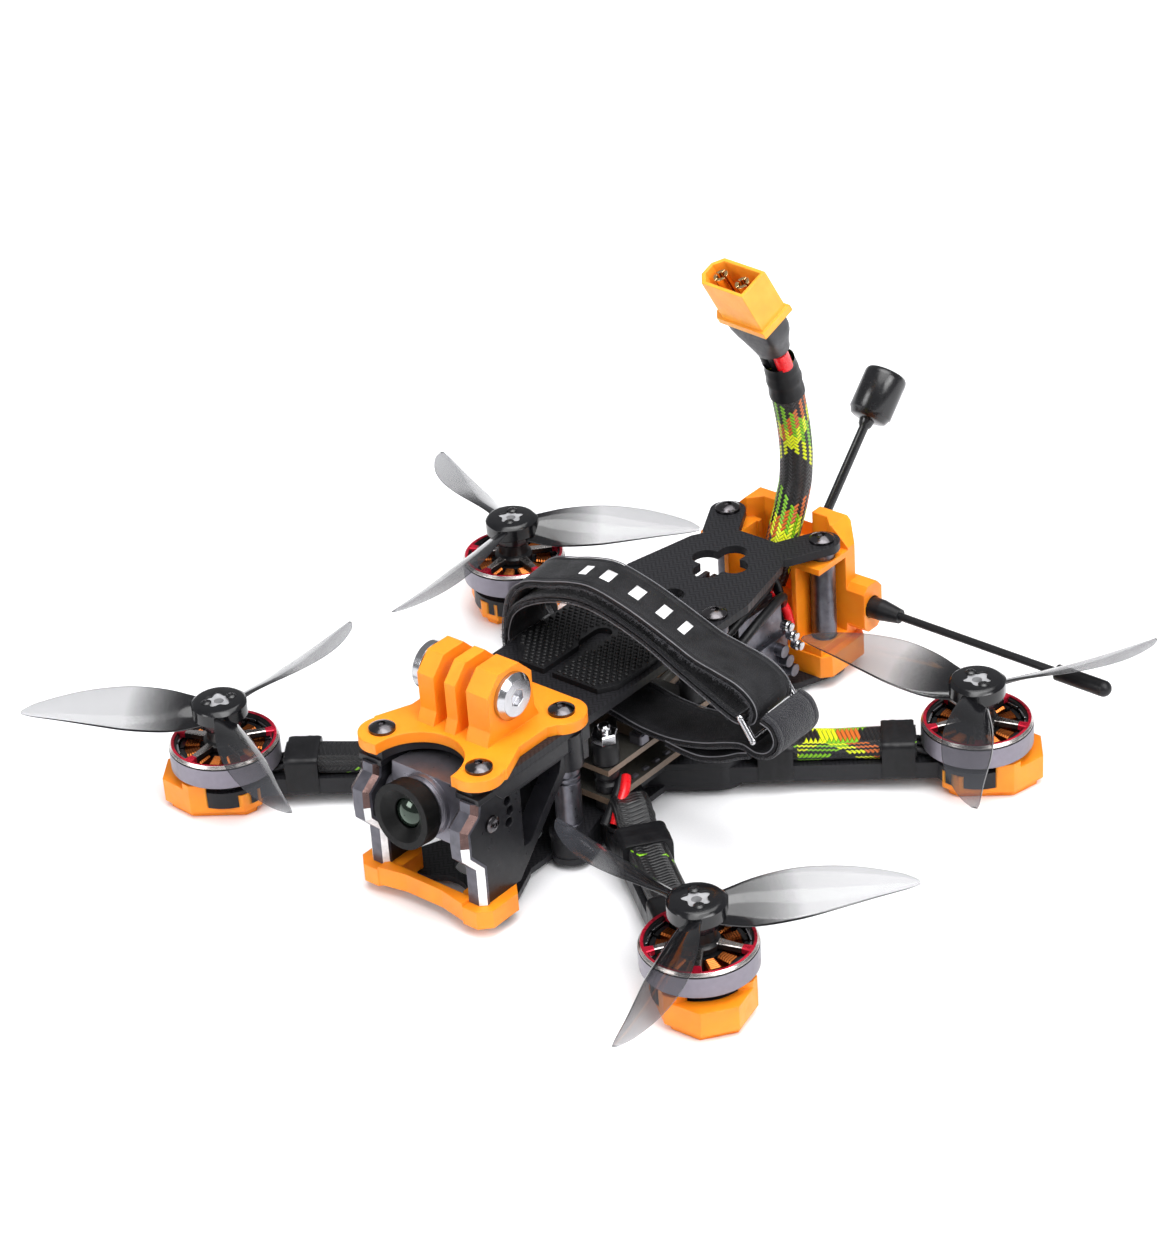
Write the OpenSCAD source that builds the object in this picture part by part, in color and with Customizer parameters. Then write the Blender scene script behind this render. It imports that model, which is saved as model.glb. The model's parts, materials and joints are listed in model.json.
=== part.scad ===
// FPV racing drone with 3.6 inch three-bladed propellers.
// The origin is the centre of the bottom plate's underside, midway between the four motors.
// +Z is up, the nose points to -Y, and +X is the drone's own left side.

/* [Frame] */
// Distance between the left and right motor axes
motor_span_x = 134; // [132:0.5:136]
// Distance between the front and rear motor axes
motor_span_y = 100; // [99:0.5:102]
// Thickness of the bottom plate and the mid plate
plate_t = 1.5; // [1.4:0.1:1.5]
// Thickness of an arm
arm_t = 4; // [3.9:0.1:4]
// Width of an arm
arm_w = 10.5; // [10:0.1:10.5]
// Thickness of the top plate
top_t = 2; // [1.8:0.1:2]
// Height of the standoffs between the mid plate and the top plate
standoff_h = 25; // [25:0.1:25.4]

/* [Motors and propellers] */
// Outer diameter of a motor bell
bell_d = 24.8; // [24:0.1:25]
// Radius from the motor axis to a blade tip
prop_r = 45.7; // [43:0.1:45.7]
// Turn of the rear left propeller at rest
turn_rear_left = -57.6; // [-60:0.1:-55]
// Turn of the rear right propeller at rest
turn_rear_right = -86.2; // [-90:0.1:-80]
// Turn of the front left propeller at rest
turn_front_left = -71.7; // [-75:0.1:-70]
// Turn of the front right propeller at rest
turn_front_right = -147.2; // [-150:0.1:-145]

/* [Camera] */
// Upward tilt of the camera at rest
camera_tilt = 7; // [0:1:10]

/* [Battery lead and strap] */
// Diameter of the sleeved battery lead
lead_d = 8; // [7:0.1:8]
// Position of the strap's front edge
strap_front_y = -8; // [-9:0.5:-8]
// Width of the strap along the drone
strap_w = 14; // [13:0.5:15]

/* [Hidden] */
$fn = 48;

// Levels of the stack, measured up from the bottom plate's underside
arm_z = plate_t;
mid_z = arm_z + arm_t;
bay_z = mid_z + plate_t;
top_z = bay_z + standoff_h;
deck_z = top_z + top_t;
floor_z = -1.5;

// Arm directions and motor places
motor_x = motor_span_x / 2;
motor_y = motor_span_y / 2;
motor_r = norm([motor_x, motor_y]);
arm_angle = atan2(motor_y, motor_x);

// Levels on the motor axis
base_z = mid_z;
bell_low_z = mid_z + 2.3;
bell_rim_z = mid_z + 8.3;
hub_low_z = mid_z + 11.8;
hub_top_z = mid_z + 18.3;
shaft_r = 1.5;
shaft_fit = 0.05;
bell_r = bell_d / 2;

// Screw rows along the body, as x and y of the left side
front_ear = [13.5, -53];
front_post = [13.5, -26.4];
mid_post = [13.5, 26.4];
rear_post = [13.5, 66.6];
stack_hole = [15.25, 15.25];
arm_hole = [21.5, 16];
screw_r = 1.5;
hole_r = 1.6;
head_r = 2.9;
low_head_h = 1.2;

// Nose: camera axis and side plates
side_in_x = 11.4;
side_out_x = 16;
camera_axis = [-53.5, 24.1];

// Strap outlines in the XZ plane, outer and inner
strap_outer = [[-18.5, 29], [-20, 32], [-20.5, 42], [-17, 48.5], [-10, 52], [-2, 54.5], [7, 56],
               [15, 54.5], [25, 51.5], [34, 47.5], [43, 45], [49, 42.5], [51.5, 39],
               [51.5, 37.5], [54.5, 36.5], [55.5, 33.5], [54.5, 30.5], [51.5, 29.3],
               [44, 28], [36, 25.6], [28, 24], [19, 24.3], [8, 26.5], [0, 28.2], [-10, 28.6]];
strap_inner = [[-17.2, 30.6], [-18.2, 32], [-18.5, 39], [-14, 44], [-8, 47.3], [0, 49.5], [8, 49.7],
               [15, 48], [23, 45], [30, 41], [37, 37.5], [42.5, 35.3], [46.5, 34], [45.5, 31],
               [42, 29.8], [36, 27.8], [28, 26.2], [19, 26.5], [8, 28.7], [0, 30.2], [-10, 30.6]];
ring_top = [47.7, 37.8];
ring_low = [50.8, 33.2];
ring_wire_r = 0.8;

// Battery lead: points along its middle line, from the rear mount to the connector's boot
lead_route = [[0, 64, 20], [0, 66.5, 23.5], [0, 69, 28], [0, 70.2, 30.5], [0, 71.5, 33],
              [0, 72.8, 35.5], [0, 74, 38.5], [0, 75, 41], [0, 75.6, 44], [0, 75.9, 49.5],
              [0, 75.4, 55], [0, 74.3, 61], [0, 73, 66.5], [0.1, 71.7, 71], [0.3, 70.1, 75],
              [0.4, 68.3, 78.5]];
lead_sides = 10;
connector_turn = [27, -4, -11.5];
boot_len = 11;
collar_len = 1.6;
shell_len = 11;

// ---------- helpers ----------

module both_sides() {
    children();
    mirror([1, 0, 0]) children();
}

module all_quarters() {
    both_sides() {
        children();
        mirror([0, 1, 0]) children();
    }
}

// Flat bar with round ends between two points, its straight edges just inside its ends' width
module bar2d(a, b, r) {
    d = b - a;
    half = r - 0.02;
    translate(a) circle(r = r);
    translate(b) circle(r = r);
    translate(a) rotate(atan2(d[1], d[0])) translate([0, -half]) square([norm(d), 2 * half]);
}

// Puts its children in an arm's frame: +X outwards along the arm
module on_arm(sx, sy) {
    angle = atan2(sy * motor_y, sx * motor_x);
    rotate([0, 0, angle]) children();
}

module on_motor(sx, sy) {
    translate([sx * motor_x, sy * motor_y, 0]) children();
}

// Button head screw: the head's seat is at z = 0 and its thread points down
module button_screw(r, len, head, head_h) {
    translate([0, 0, -len]) cylinder(r = r, h = len + head_h / 2);
    difference() {
        intersection() {
            cylinder(r = head, h = head_h);
            translate([0, 0, head_h - head * 1.6]) sphere(r = head * 1.6);
        }
        translate([0, 0, head_h * 0.45]) cylinder(r = r * 0.75, h = head_h, $fn = 6);
    }
}

// ---------- plates ----------

module core2d() {
    square([30, 34], center = true);
    all_quarters() bar2d([8, 6], arm_hole, 5.6);
    both_sides() {
        bar2d([9, 12], mid_post, 4.6);
        bar2d([9, -12], front_post, 4.6);
    }
}

module core_holes2d() {
    all_quarters() {
        translate(stack_hole) circle(r = hole_r);
        translate(arm_hole) circle(r = hole_r);
    }
    both_sides() {
        translate(mid_post) circle(r = hole_r);
        translate(front_post) circle(r = hole_r);
    }
}

module bottom_plate() {
    color("#26262a") linear_extrude(plate_t) difference() {
        union() {
            core2d();
            translate([-11, -52]) square([22, 114]);
            both_sides() {
                bar2d([8, -40], front_ear, 4);
                bar2d([10, 58], rear_post, 4.6);
            }
            translate([-13.5, 58]) square([27, 13.2]);
        }
        core_holes2d();
        both_sides() {
            translate(front_ear) circle(r = hole_r);
            translate(rear_post) circle(r = hole_r);
        }
        bar2d([0, 30], [0, 50], 5);
        bar2d([0, -42], [0, -28], 5);
        translate([0, -56]) circle(r = 7);
    }
}

module mid_plate() {
    color("#26262a") translate([0, 0, mid_z]) linear_extrude(plate_t) difference() {
        core2d();
        core_holes2d();
        bar2d([-5, 0], [5, 0], 4);
    }
}

module top_outline2d() {
    difference() {
        polygon([[-17, -52], [-17, 34], [-13, 52], [-8, 60], [8, 60], [13, 52], [17, 34], [17, -52],
                 [14.5, -57], [-14.5, -57]]);
        translate([0, -57]) circle(r = 10.3);
    }
    both_sides() bar2d([9, 58], rear_post, 4.2);
}

module top_plate() {
    color("#29292d") translate([0, 0, top_z]) linear_extrude(top_t) difference() {
        top_outline2d();
        both_sides() for (p = [front_ear, front_post, mid_post, rear_post])
            translate(p) circle(r = hole_r);
        bar2d([-4, 46], [4, 46], 3.2);
        bar2d([0, 41], [0, 51], 3.2);
        bar2d([0, 20], [0, 28], 3);
        both_sides() bar2d([7.5, -34], [7.5, -26], 1.8);
    }
}

module battery_pad() {
    bump_pitch = 2.4;
    pad_t = 1.4;
    color("#1c1c1e") translate([0, 0, deck_z]) linear_extrude(pad_t) difference() {
        polygon([[-15.5, -7], [-9, -14], [13, -14], [15.5, -10], [15.5, 17], [-15.5, 17]]);
        translate([-2, -15]) square([2.4, 13]);
        bar2d([-1, 0], [-1, 5], 2.2);
    }
    color("#232326") translate([0, 0, deck_z + pad_t])
        for (ix = [-5 : 5], iy = [-4 : 6])
            if (abs(ix * bump_pitch + 1) > 3.5 && ix * bump_pitch - iy * bump_pitch < 16
                && ix * bump_pitch + iy * bump_pitch > -18)
                translate([ix * bump_pitch, iy * bump_pitch, -0.2])
                    cube([1.5, 0.9, 1], center = true);
}

// ---------- arms and feet ----------

module arm(sx, sy) {
    seam = 0.15;
    reach = 200;
    post_at = sy > 0 ? mid_post : [front_post[0], -front_post[1]];
    color("#232327") translate([0, 0, arm_z]) linear_extrude(arm_t) scale([sx, sy]) difference() {
        intersection() {
            union() {
                bar2d([8, 6], arm_hole, 5.6);
                bar2d([9, 12], post_at, 4.4);
                square([12, 12]);
                rotate(arm_angle) {
                    translate([10, -arm_w / 2]) square([motor_r - 10, arm_w]);
                    translate([motor_r, 0]) circle(r = 10.4);
                }
            }
            translate([seam, seam]) square(reach);
        }
        translate(stack_hole) circle(r = hole_r);
        translate(arm_hole) circle(r = hole_r);
        translate(post_at) circle(r = hole_r);
        translate([motor_x, motor_y]) {
            circle(r = 3);
            for (a = [45 : 90 : 315]) rotate(a) translate([6, 0]) circle(r = 1.1);
        }
    }
}

module foot2d(grow) {
    polygon([[-8 - grow, -6.8], [-4.5, -9.8 - grow], [7.5, -9.8 - grow], [14.2 + grow, -4],
             [14.2 + grow, 4], [7.5, 9.8 + grow], [-4.5, 9.8 + grow], [-8 - grow, 6.8]]);
}

module foot(sx, sy) {
    lip_z = mid_z + 0.3;
    lug_z = bell_low_z - 0.5;
    color("#f6921e") on_motor(sx, sy) rotate([0, 0, atan2(sy * motor_y, sx * motor_x)]) difference() {
        union() {
            translate([0, 0, floor_z]) linear_extrude(1.6) foot2d(-1.4);
            translate([0, 0, floor_z + 1.6]) linear_extrude(arm_z - floor_z + 1.4) foot2d(0);
            translate([0, 0, arm_z]) linear_extrude(lip_z - arm_z) intersection() {
                foot2d(0);
                translate([2, -20]) square([20, 40]);
            }
            translate([0, 0, arm_z]) linear_extrude(lug_z - arm_z) intersection() {
                foot2d(0);
                translate([3.5, -20]) square([5.5, 40]);
            }
        }
        translate([0, 0, arm_z]) cylinder(r = 10.4, h = 20);
        translate([-20, -arm_w / 2, arm_z]) cube([20, arm_w, 20]);
        for (a = [45 : 90 : 315]) rotate(a - arm_angle * sx * sy)
            translate([6, 0, floor_z - 1]) cylinder(r = 2.2, h = 10);
        translate([0, 0, floor_z - 1]) cylinder(r = 3, h = 10);
    }
}

// ---------- nose ----------

module side_plate(side) {
    ear_z = top_z - 8.5;
    color("#2a2a2e") scale([side, 1, 1]) difference() {
        union() {
            translate([side_in_x, 0, 0]) rotate([90, 0, 90]) linear_extrude(side_out_x - side_in_x)
                polygon([[-57, mid_z], [-46, mid_z], [-29.5, ear_z], [-21.5, ear_z], [-21.5, top_z],
                         [-57, top_z], [-57.5, 28], [-61, 25.5], [-61, 19.5], [-57, 15]]);
            translate([side_in_x - 1, 0, 0]) rotate([90, 0, 90]) linear_extrude(6.3)
                polygon([[-57.5, top_z - 1.4], [-57.5, top_z], [-21.5, top_z],
                         [-21.5, top_z - 3.5], [-50, top_z - 3.5], [-52, top_z - 1.4]]);
            translate([13.5, front_post[1], ear_z]) cylinder(r = 4, h = 8.5);
        }
        translate([0, -44, 0]) rotate([90, 0, 90]) linear_extrude(20)
            polygon([[0, 13], [0, top_z - 4.6], [13.5, top_z - 4.6], [12.5, 24.5], [2, 13]]);
        translate([0, camera_axis[0], camera_axis[1]]) rotate([0, 90, 0]) cylinder(r = 1.1, h = 20);
        for (a = [-26, 0, 26]) translate([0, camera_axis[0], camera_axis[1]]) rotate([a, 0, 0])
            translate([0, 6, 0]) rotate([0, 90, 0]) cylinder(r = 1.1, h = 20);
        translate([front_ear[0], front_ear[1], top_z - 7]) cylinder(r = 1.3, h = 8);
        translate([front_ear[0], front_ear[1], mid_z - 1]) cylinder(r = 1.3, h = 8);
        translate([front_post[0], front_post[1], ear_z - 1]) cylinder(r = hole_r, h = 20);
    }
}

module front_bumper() {
    pad_z = 1.2;
    bar_z = 1.6;
    color("#f6921e") difference() {
        union() {
            both_sides() translate([0, 0, pad_z]) linear_extrude(mid_z - pad_z)
                polygon([[8.5, -56], [12, -60.5], [16, -60.5], [18.5, -58], [18.5, -50], [16, -47.5],
                         [11, -47.5], [8.5, -50]]);
            translate([0, 0, bar_z]) linear_extrude(4.5)
                polygon([[-12, -60.3], [-5, -59], [5, -59], [12, -60.3], [12, -57.2], [-12, -57.2]]);
        }
        translate([0, 0, -1]) linear_extrude(plate_t + 1) union() {
            both_sides() bar2d([8, -40], front_ear, 4);
            translate([-11, -52]) square([22, 40]);
        }
        both_sides() translate([front_ear[0], front_ear[1], floor_z - 1]) {
            cylinder(r = hole_r, h = 20);
        }
    }
}

module action_camera_mount() {
    mount_t = 2.5;
    pivot_y = -38;
    pivot_z = deck_z + 11.3;
    fingers = [[-9.5, 4.5], [-2, 3], [4, 6]];
    color("#f7941d") difference() {
        union() {
            translate([0, 0, deck_z]) linear_extrude(mount_t) difference() {
                union() {
                    both_sides() {
                        translate([12.9, -53]) circle(r = 5.7);
                        translate([13.2, front_post[1]]) circle(r = 5.7);
                    }
                    polygon([[-18.4, -50], [-15, -42], [-15, -33], [-17.6, -29], [-13, -20.8],
                             [13, -20.8], [17.6, -29], [15, -33], [15, -42], [18.4, -50],
                             [14, -58.5], [-14, -58.5]]);
                }
                translate([0, -58]) circle(r = 10.5);
            }
            for (f = fingers) translate([f[0], pivot_y, 0]) rotate([90, 0, 90]) linear_extrude(f[1])
                polygon([[-9, deck_z + 1], [9, deck_z + 1], [7, deck_z + 5.5], [7, pivot_z + 2.5],
                         [3.2, pivot_z + 6.4], [-3.2, pivot_z + 6.4], [-7, pivot_z + 2.5],
                         [-7, deck_z + 5.5]]);
        }
        translate([-20, pivot_y, pivot_z]) rotate([0, 90, 0]) cylinder(r = 2.6, h = 40);
        both_sides() {
            for (p = [front_ear, front_post]) translate([p[0], p[1], deck_z - 1])
                cylinder(r = hole_r, h = 6);
        }
    }
}

module action_mount_bolt() {
    color("#d9dbe0") translate([0, -38, deck_z + 11.3]) rotate([0, 90, 0]) {
        translate([0, 0, -11.8]) cylinder(r = 2.5, h = 22);
        difference() {
            union() {
                translate([0, 0, 10]) cylinder(r = 5.3, h = 1);
                translate([0, 0, 11]) cylinder(r1 = 5.3, r2 = 4.2, h = 1);
            }
            translate([0, 0, 10.6]) cylinder(r = 2, h = 4, $fn = 6);
        }
    }
}

module action_mount_nut() {
    color("#d9dbe0") translate([0, -38, deck_z + 11.3]) rotate([0, -90, 0]) difference() {
        union() {
            translate([0, 0, 9.5]) cylinder(r = 4, h = 1.6);
            difference() {
                translate([0, 0, 10.8]) cylinder(r = 5.4, h = 1.8);
                translate([0, 0, 11.6]) cylinder(r = 4.3, h = 3);
            }
            translate([0, 0, 11]) cylinder(r = 3.6, h = 1.3, $fn = 6);
        }
        translate([0, 0, 9]) cylinder(r = 2.5, h = 5);
    }
}

// Puts its children at the camera's tilt axis: -Y is the lens axis
module at_camera() {
    translate([0, camera_axis[0], camera_axis[1]]) rotate([-camera_tilt, 0, 0]) children();
}

module camera_body() {
    color("#8d8f95") at_camera() difference() {
        union() {
            translate([-9.5, -2.5, -7]) cube([19, 13, 14]);
            translate([-8, 10.5, -5.5]) cube([16, 1.5, 11]);
            translate([0, -2.4, 0]) rotate([90, 0, 0]) cylinder(r = 6.9, h = 1.4);
            for (s = [-1, 1]) translate([s * 10, 0, 0]) rotate([0, 90, 0])
                cylinder(r = 3, h = 2, center = true);
        }
        rotate([0, 90, 0]) cylinder(r = 0.95, h = 40, center = true);
    }
}

module camera_lens() {
    color("#161618") at_camera() rotate([90, 0, 0]) difference() {
        union() {
            translate([0, 0, 3.8]) cylinder(r = 6.3, h = 3);
            translate([0, 0, 6.2]) cylinder(r = 7.4, h = 4);
            translate([0, 0, 5.4]) cylinder(r1 = 6.3, r2 = 7.4, h = 0.8);
        }
        translate([0, 0, 8.2]) cylinder(r1 = 3.4, r2 = 6, h = 2.1);
        translate([0, 0, 7.2]) cylinder(r = 3.4, h = 4);
    }
}

module lens_glass() {
    glass_sphere_r = 5;
    color("#101425") at_camera() rotate([90, 0, 0]) translate([0, 0, 7.2]) intersection() {
        cylinder(r = 3.4, h = 2.6);
        translate([0, 0, 1.9 - glass_sphere_r]) sphere(r = glass_sphere_r);
    }
}

module camera_screws() {
    head_gap = 0.1;
    color("#2c2c30") at_camera() both_sides()
        translate([side_out_x + head_gap, 0, 0]) rotate([0, 90, 0])
            button_screw(0.95, side_out_x + head_gap - 6, 1.9, 1.2);
}

// ---------- electronics ----------

module board2d(size) {
    difference() {
        square([size, size], center = true);
        all_quarters() translate(stack_hole) circle(r = hole_r + 0.1);
    }
}

module esc_board() {
    board_z = bay_z + 3;
    color("#1d2a22") translate([0, 0, board_z]) {
        linear_extrude(1.6) board2d(37);
        for (sx = [-1, 1], i = [-2 : 2]) translate([sx * 9, i * 4.6, 1.6 + 0.6])
            cube([4.6, 3.6, 1.2], center = true);
        for (sx = [-1, 1]) translate([sx * 3.6, 15.5, 2.6]) cube([4, 4, 2], center = true);
    }
    // Bare power wires from the board's pads to the sleeve
    color("#c8202a") for (sx = [-1, 1]) {
        translate([sx * 2, 15.5, board_z + 3.6]) sphere(r = 1.7);
        lean = atan2(9, 48);
        translate([sx * 2, 15.5, board_z + 3.6]) rotate([-90 + lean, 0, 0])
            cylinder(r = 1.7, h = norm([9, 48]));
    }
}

module flight_controller() {
    board_z = bay_z + 10;
    color("#6b5545") translate([0, 0, board_z]) {
        linear_extrude(1.4) board2d(36);
        translate([0, 0, 1.4 + 0.7]) cube([9, 9, 1.4], center = true);
        translate([13, 0, 1.4 + 1.4]) cube([7, 9, 2.8], center = true);
        translate([-13, -3, 1.4 + 1]) cube([6, 8, 2], center = true);
        translate([0, -14, 1.4 + 1.2]) cube([12, 5, 2.4], center = true);
        translate([0, 0, -0.8]) cube([16, 12, 1.6], center = true);
    }
}

module stack_bolts() {
    tip_z = top_z - 4;
    color("#c9ccd2") all_quarters() translate([stack_hole[0], stack_hole[1], 0]) {
        translate([0, 0, -low_head_h]) cylinder(r = screw_r, h = tip_z + low_head_h);
        translate([0, 0, -low_head_h]) cylinder(r = 2.7, h = low_head_h);
        translate([0, 0, bay_z + 11.4]) cylinder(r = 3.1, h = 2.4, $fn = 6);
    }
    // Rubber grommets that carry the two boards
    color("#3a3a3e") all_quarters() translate([stack_hole[0], stack_hole[1], 0])
        for (z = [bay_z, bay_z + 4.6]) translate([0, 0, z]) difference() {
            cylinder(r = 2.8, h = z == bay_z ? 3 : 5.4);
            translate([0, 0, -1]) cylinder(r = screw_r, h = 9);
        }
}

module video_unit() {
    color("#55565c") translate([0, 46, bay_z - mid_z + 1]) {
        difference() {
            translate([-12, -8.5, 0]) cube([24, 17, 12.5]);
            translate([10.5, -1.2, 3.6]) rotate([90, 0, 90]) linear_extrude(3) {
                bar2d([-2.8, 0], [2.8, 0], 1.3);
            }
        }
        for (i = [0 : 2]) translate([12, 6 + 1.8 * i - 1.5, 10 - 3.4 * i]) rotate([0, 90, 0])
            cylinder(r = 1.5, h = 2.2);
        for (sx = [-1, 1], i = [0 : 2]) translate([sx * (5.4 + 2.4 * i), 0, 17])
            cube([1.2, 16, 9.8], center = true);
    }
}

// ---------- rear ----------

module rear_mount() {
    side_top = 28.5;
    color("#f6921e") difference() {
        union() {
            translate([0, 0, plate_t]) linear_extrude(mid_z - plate_t + 1.5)
                polygon([[-19, 62], [-19, 74.5], [-15, 78], [15, 78], [19, 74.5], [19, 62],
                         [17, 60], [-17, 60]]);
            translate([0, 0, plate_t]) linear_extrude(deck_z + 1 - plate_t)
                polygon([[-17, 71.8], [-17, 74.5], [-13.5, 78], [13.5, 78], [17, 74.5], [17, 71.8],
                         [12, 71.8], [9, 74.8], [-9, 74.8], [-12, 71.8]]);
            both_sides() translate([8.5, 60.5, plate_t]) cube([8.5, 12.5, side_top]);
            translate([16, 0, 0]) rotate([90, 0, 90]) linear_extrude(6)
                polygon([[70.5, 11.5], [72.3, 9.5], [76, 9.5], [77.8, 11.5], [77.8, 19.5],
                         [76, 21.5], [72.3, 21.5], [70.5, 19.5]]);
            translate([0, 74, 15]) rotate([-45, 0, 0]) cylinder(r = 4.6, h = 14);
        }
        both_sides() {
            translate([rear_post[0], rear_post[1], bay_z]) cylinder(r = 3, h = 40);
            translate([rear_post[0], rear_post[1], 0]) cylinder(r = hole_r, h = 40);
            translate([10.3, 58, 9]) cube([12, 12.8, 19.5]);
            translate([0, 80, 0]) rotate([90, 0, 0]) linear_extrude(10)
                polygon([[11.5, 36], [18, 36], [18, 29.5]]);
        }
        translate([0, 75, 32]) cube([9.6, 12, 16], center = true);
        translate([-9, 58, mid_z + 2]) cube([18, 13.5, 40]);
        translate([0, 71.9, 12.9]) rotate([-45, 0, 0]) cylinder(r = 1.15, h = 30);
        translate([19, 74, 15.5]) rotate([0, 90, 0]) cylinder(r = 2.7, h = 20);
        translate([0, 74.8, 14]) cube([18, 6.1, 8], center = true);
    }
}

module video_antenna() {
    color("#1a1a1c") translate([0, 78.8, 19.8]) rotate([-45, 0, 0]) {
        cylinder(r = 1.05, h = 37);
        translate([0, 0, 36]) cylinder(r = 5.2, h = 12);
        translate([0, 0, 34.6]) cylinder(r1 = 2, r2 = 5.2, h = 1.4);
    }
}

module receiver_antenna() {
    color("#18181a") translate([19, 74, 15.5]) rotate([0, 90, -1]) {
        cylinder(r = 2.5, h = 6);
        translate([0, 0, 6]) cylinder(r1 = 2.5, r2 = 1.7, h = 5);
        translate([0, 0, 11]) cylinder(r = 0.95, h = 44);
        translate([0, 0, 54]) cylinder(r = 1.9, h = 12);
        translate([0, 0, 66]) sphere(r = 1.9);
    }
}

// ---------- motors ----------

module motor_base(sx, sy) {
    color("#1b1b1e") on_motor(sx, sy) difference() {
        union() {
            translate([0, 0, base_z]) cylinder(r = 7.2, h = 1.6);
            for (a = [45 : 90 : 315]) translate([0, 0, base_z]) linear_extrude(1.6)
                rotate(a) bar2d([3, 0], [7.2, 0], 2.2);
            translate([0, 0, base_z]) cylinder(r = 3.2, h = 7.2);
        }
        translate([0, 0, 0]) cylinder(r = shaft_r + shaft_fit, h = 20);
        for (a = [45 : 90 : 315]) rotate(a) translate([6, 0, 0]) cylinder(r = 0.8, h = 7.6);
    }
}

module stator(sx, sy) {
    teeth = 12;
    tooth_z = bell_low_z + 1;
    tooth_h = 3.2;
    tip_r = 10.1;
    color("#b86a33") on_motor(sx, sy) translate([0, 0, tooth_z]) {
        linear_extrude(tooth_h) difference() {
            union() {
                circle(r = 5);
                for (i = [0 : teeth - 1]) rotate(i * 360 / teeth) translate([4, -0.8]) square([5.4, 1.6]);
                difference() {
                    circle(r = tip_r);
                    circle(r = 9.1);
                    for (i = [0 : teeth - 1]) rotate((i + 0.5) * 360 / teeth)
                        translate([5, -0.5]) square([10, 1]);
                }
            }
            circle(r = 3.2);
        }
        for (i = [0 : teeth - 1]) rotate(i * 360 / teeth) translate([5.4, -1.35, -0.5])
            cube([3.3, 2.7, tooth_h + 1]);
    }
}

module bell(sx, sy) {
    spokes = 5;
    spoke_low_z = bell_rim_z - 0.9;
    boss_z = hub_low_z;
    color("#a9a3ab") on_motor(sx, sy) {
        difference() {
            translate([0, 0, bell_low_z]) cylinder(r = bell_r, h = bell_rim_z - bell_low_z);
            translate([0, 0, bell_low_z - 1]) cylinder(r = 10.6, h = 20);
        }
        translate([0, 0, spoke_low_z]) linear_extrude(1.6) {
            difference() {
                circle(r = 11.4);
                circle(r = 9.8);
            }
            for (i = [0 : spokes - 1]) rotate(i * 360 / spokes + 18 * sx) translate([0, -0.85])
                square([11, 1.7]);
            circle(r = 4);
        }
        translate([0, 0, spoke_low_z]) cylinder(r = 3.6, h = boss_z - spoke_low_z);
        translate([0, 0, mid_z - 0.6]) cylinder(r = shaft_r, h = hub_top_z - 1.8 - mid_z);
    }
}

// One blade section, its points going round the section, in blade axes
function blade_section(r, chord, pitch, shift, thick, hand) =
    let (n = 8, lift = 0.06 * chord)
    [for (k = [0 : 2 * n - 1])
        let (u = k < n ? k / n : 2 - k / n,
             side = k < n ? 1 : -1,
             body = thick / 2 * sqrt(max(0, 1 - pow(2 * u - 1, 2))) + 0.12,
             c = (u - 0.5) * chord,
             h = side * body + lift * (1 - pow(2 * u - 1, 2)))
        [r,
         hand * (shift + c * cos(pitch) - h * sin(pitch)),
         c * sin(pitch) + h * cos(pitch)]];

module blade(hand) {
    // Radius, chord, pitch, sideways shift, thickness
    stations = [[4, 7, 38, 0, 2.2], [8, 9, 36, 0.1, 1.8], [12, 10.6, 33, 0.5, 1.5],
                [17, 11.6, 29, 1.1, 1.3], [22, 11.8, 26, 1.6, 1.2], [27, 11, 23, 1.9, 1.1],
                [32, 9.6, 20.5, 1.9, 1], [36, 8, 18.5, 1.6, 0.9], [40, 6, 17, 1, 0.8],
                [43.3, 3.9, 16, 0.3, 0.7], [prop_r, 1.4, 15, -0.5, 0.5]];
    rings = [for (s = stations) blade_section(s[0], s[1], s[2], s[3], s[4], hand)];
    count = len(rings[0]);
    points = [for (ring = rings) for (p = ring) p];
    walls = [for (i = [0 : len(rings) - 2]) for (k = [0 : count - 1])
        let (a = i * count + k, b = i * count + (k + 1) % count) each
            (hand > 0 ? [[a, b, b + count], [a, b + count, a + count]]
                      : [[a, b + count, b], [a, a + count, b + count]])];
    last = (len(rings) - 1) * count;
    root_cap = [for (k = [0 : count - 1]) hand > 0 ? count - 1 - k : k];
    tip_cap = [for (k = [0 : count - 1]) last + (hand > 0 ? k : count - 1 - k)];
    polyhedron(points, concat(walls, [root_cap, tip_cap]));
}

module propeller(sx, sy, turn, hand) {
    disc_h = 4.2;
    color("#55565a") on_motor(sx, sy) {
        difference() {
            union() {
                translate([0, 0, hub_low_z]) cylinder(r = 4.6, h = hub_top_z - hub_low_z - 1);
                translate([0, 0, hub_top_z - disc_h]) cylinder(r = 6.2, h = disc_h);
                for (k = [0 : 2]) rotate(turn + 120 * k) translate([0, 0, hub_top_z - 3.6])
                    blade(hand);
            }
            translate([0, 0, hub_low_z - 1]) cylinder(r = shaft_r + 0.05, h = hub_top_z - hub_low_z - 0.8);
            for (a = [0, 180]) rotate(turn + 30 + a) translate([2.9, 0, 0]) cylinder(r = 0.85, h = 40);
        }
    }
}

module prop_screws(sx, sy, turn) {
    color("#4a4a50") on_motor(sx, sy) for (a = [0, 180]) rotate(turn + 30 + a)
        translate([2.9, 0, hub_top_z]) button_screw(0.8, hub_top_z - hub_low_z, 1.2, 0.5);
}

// ---------- wires ----------

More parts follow.
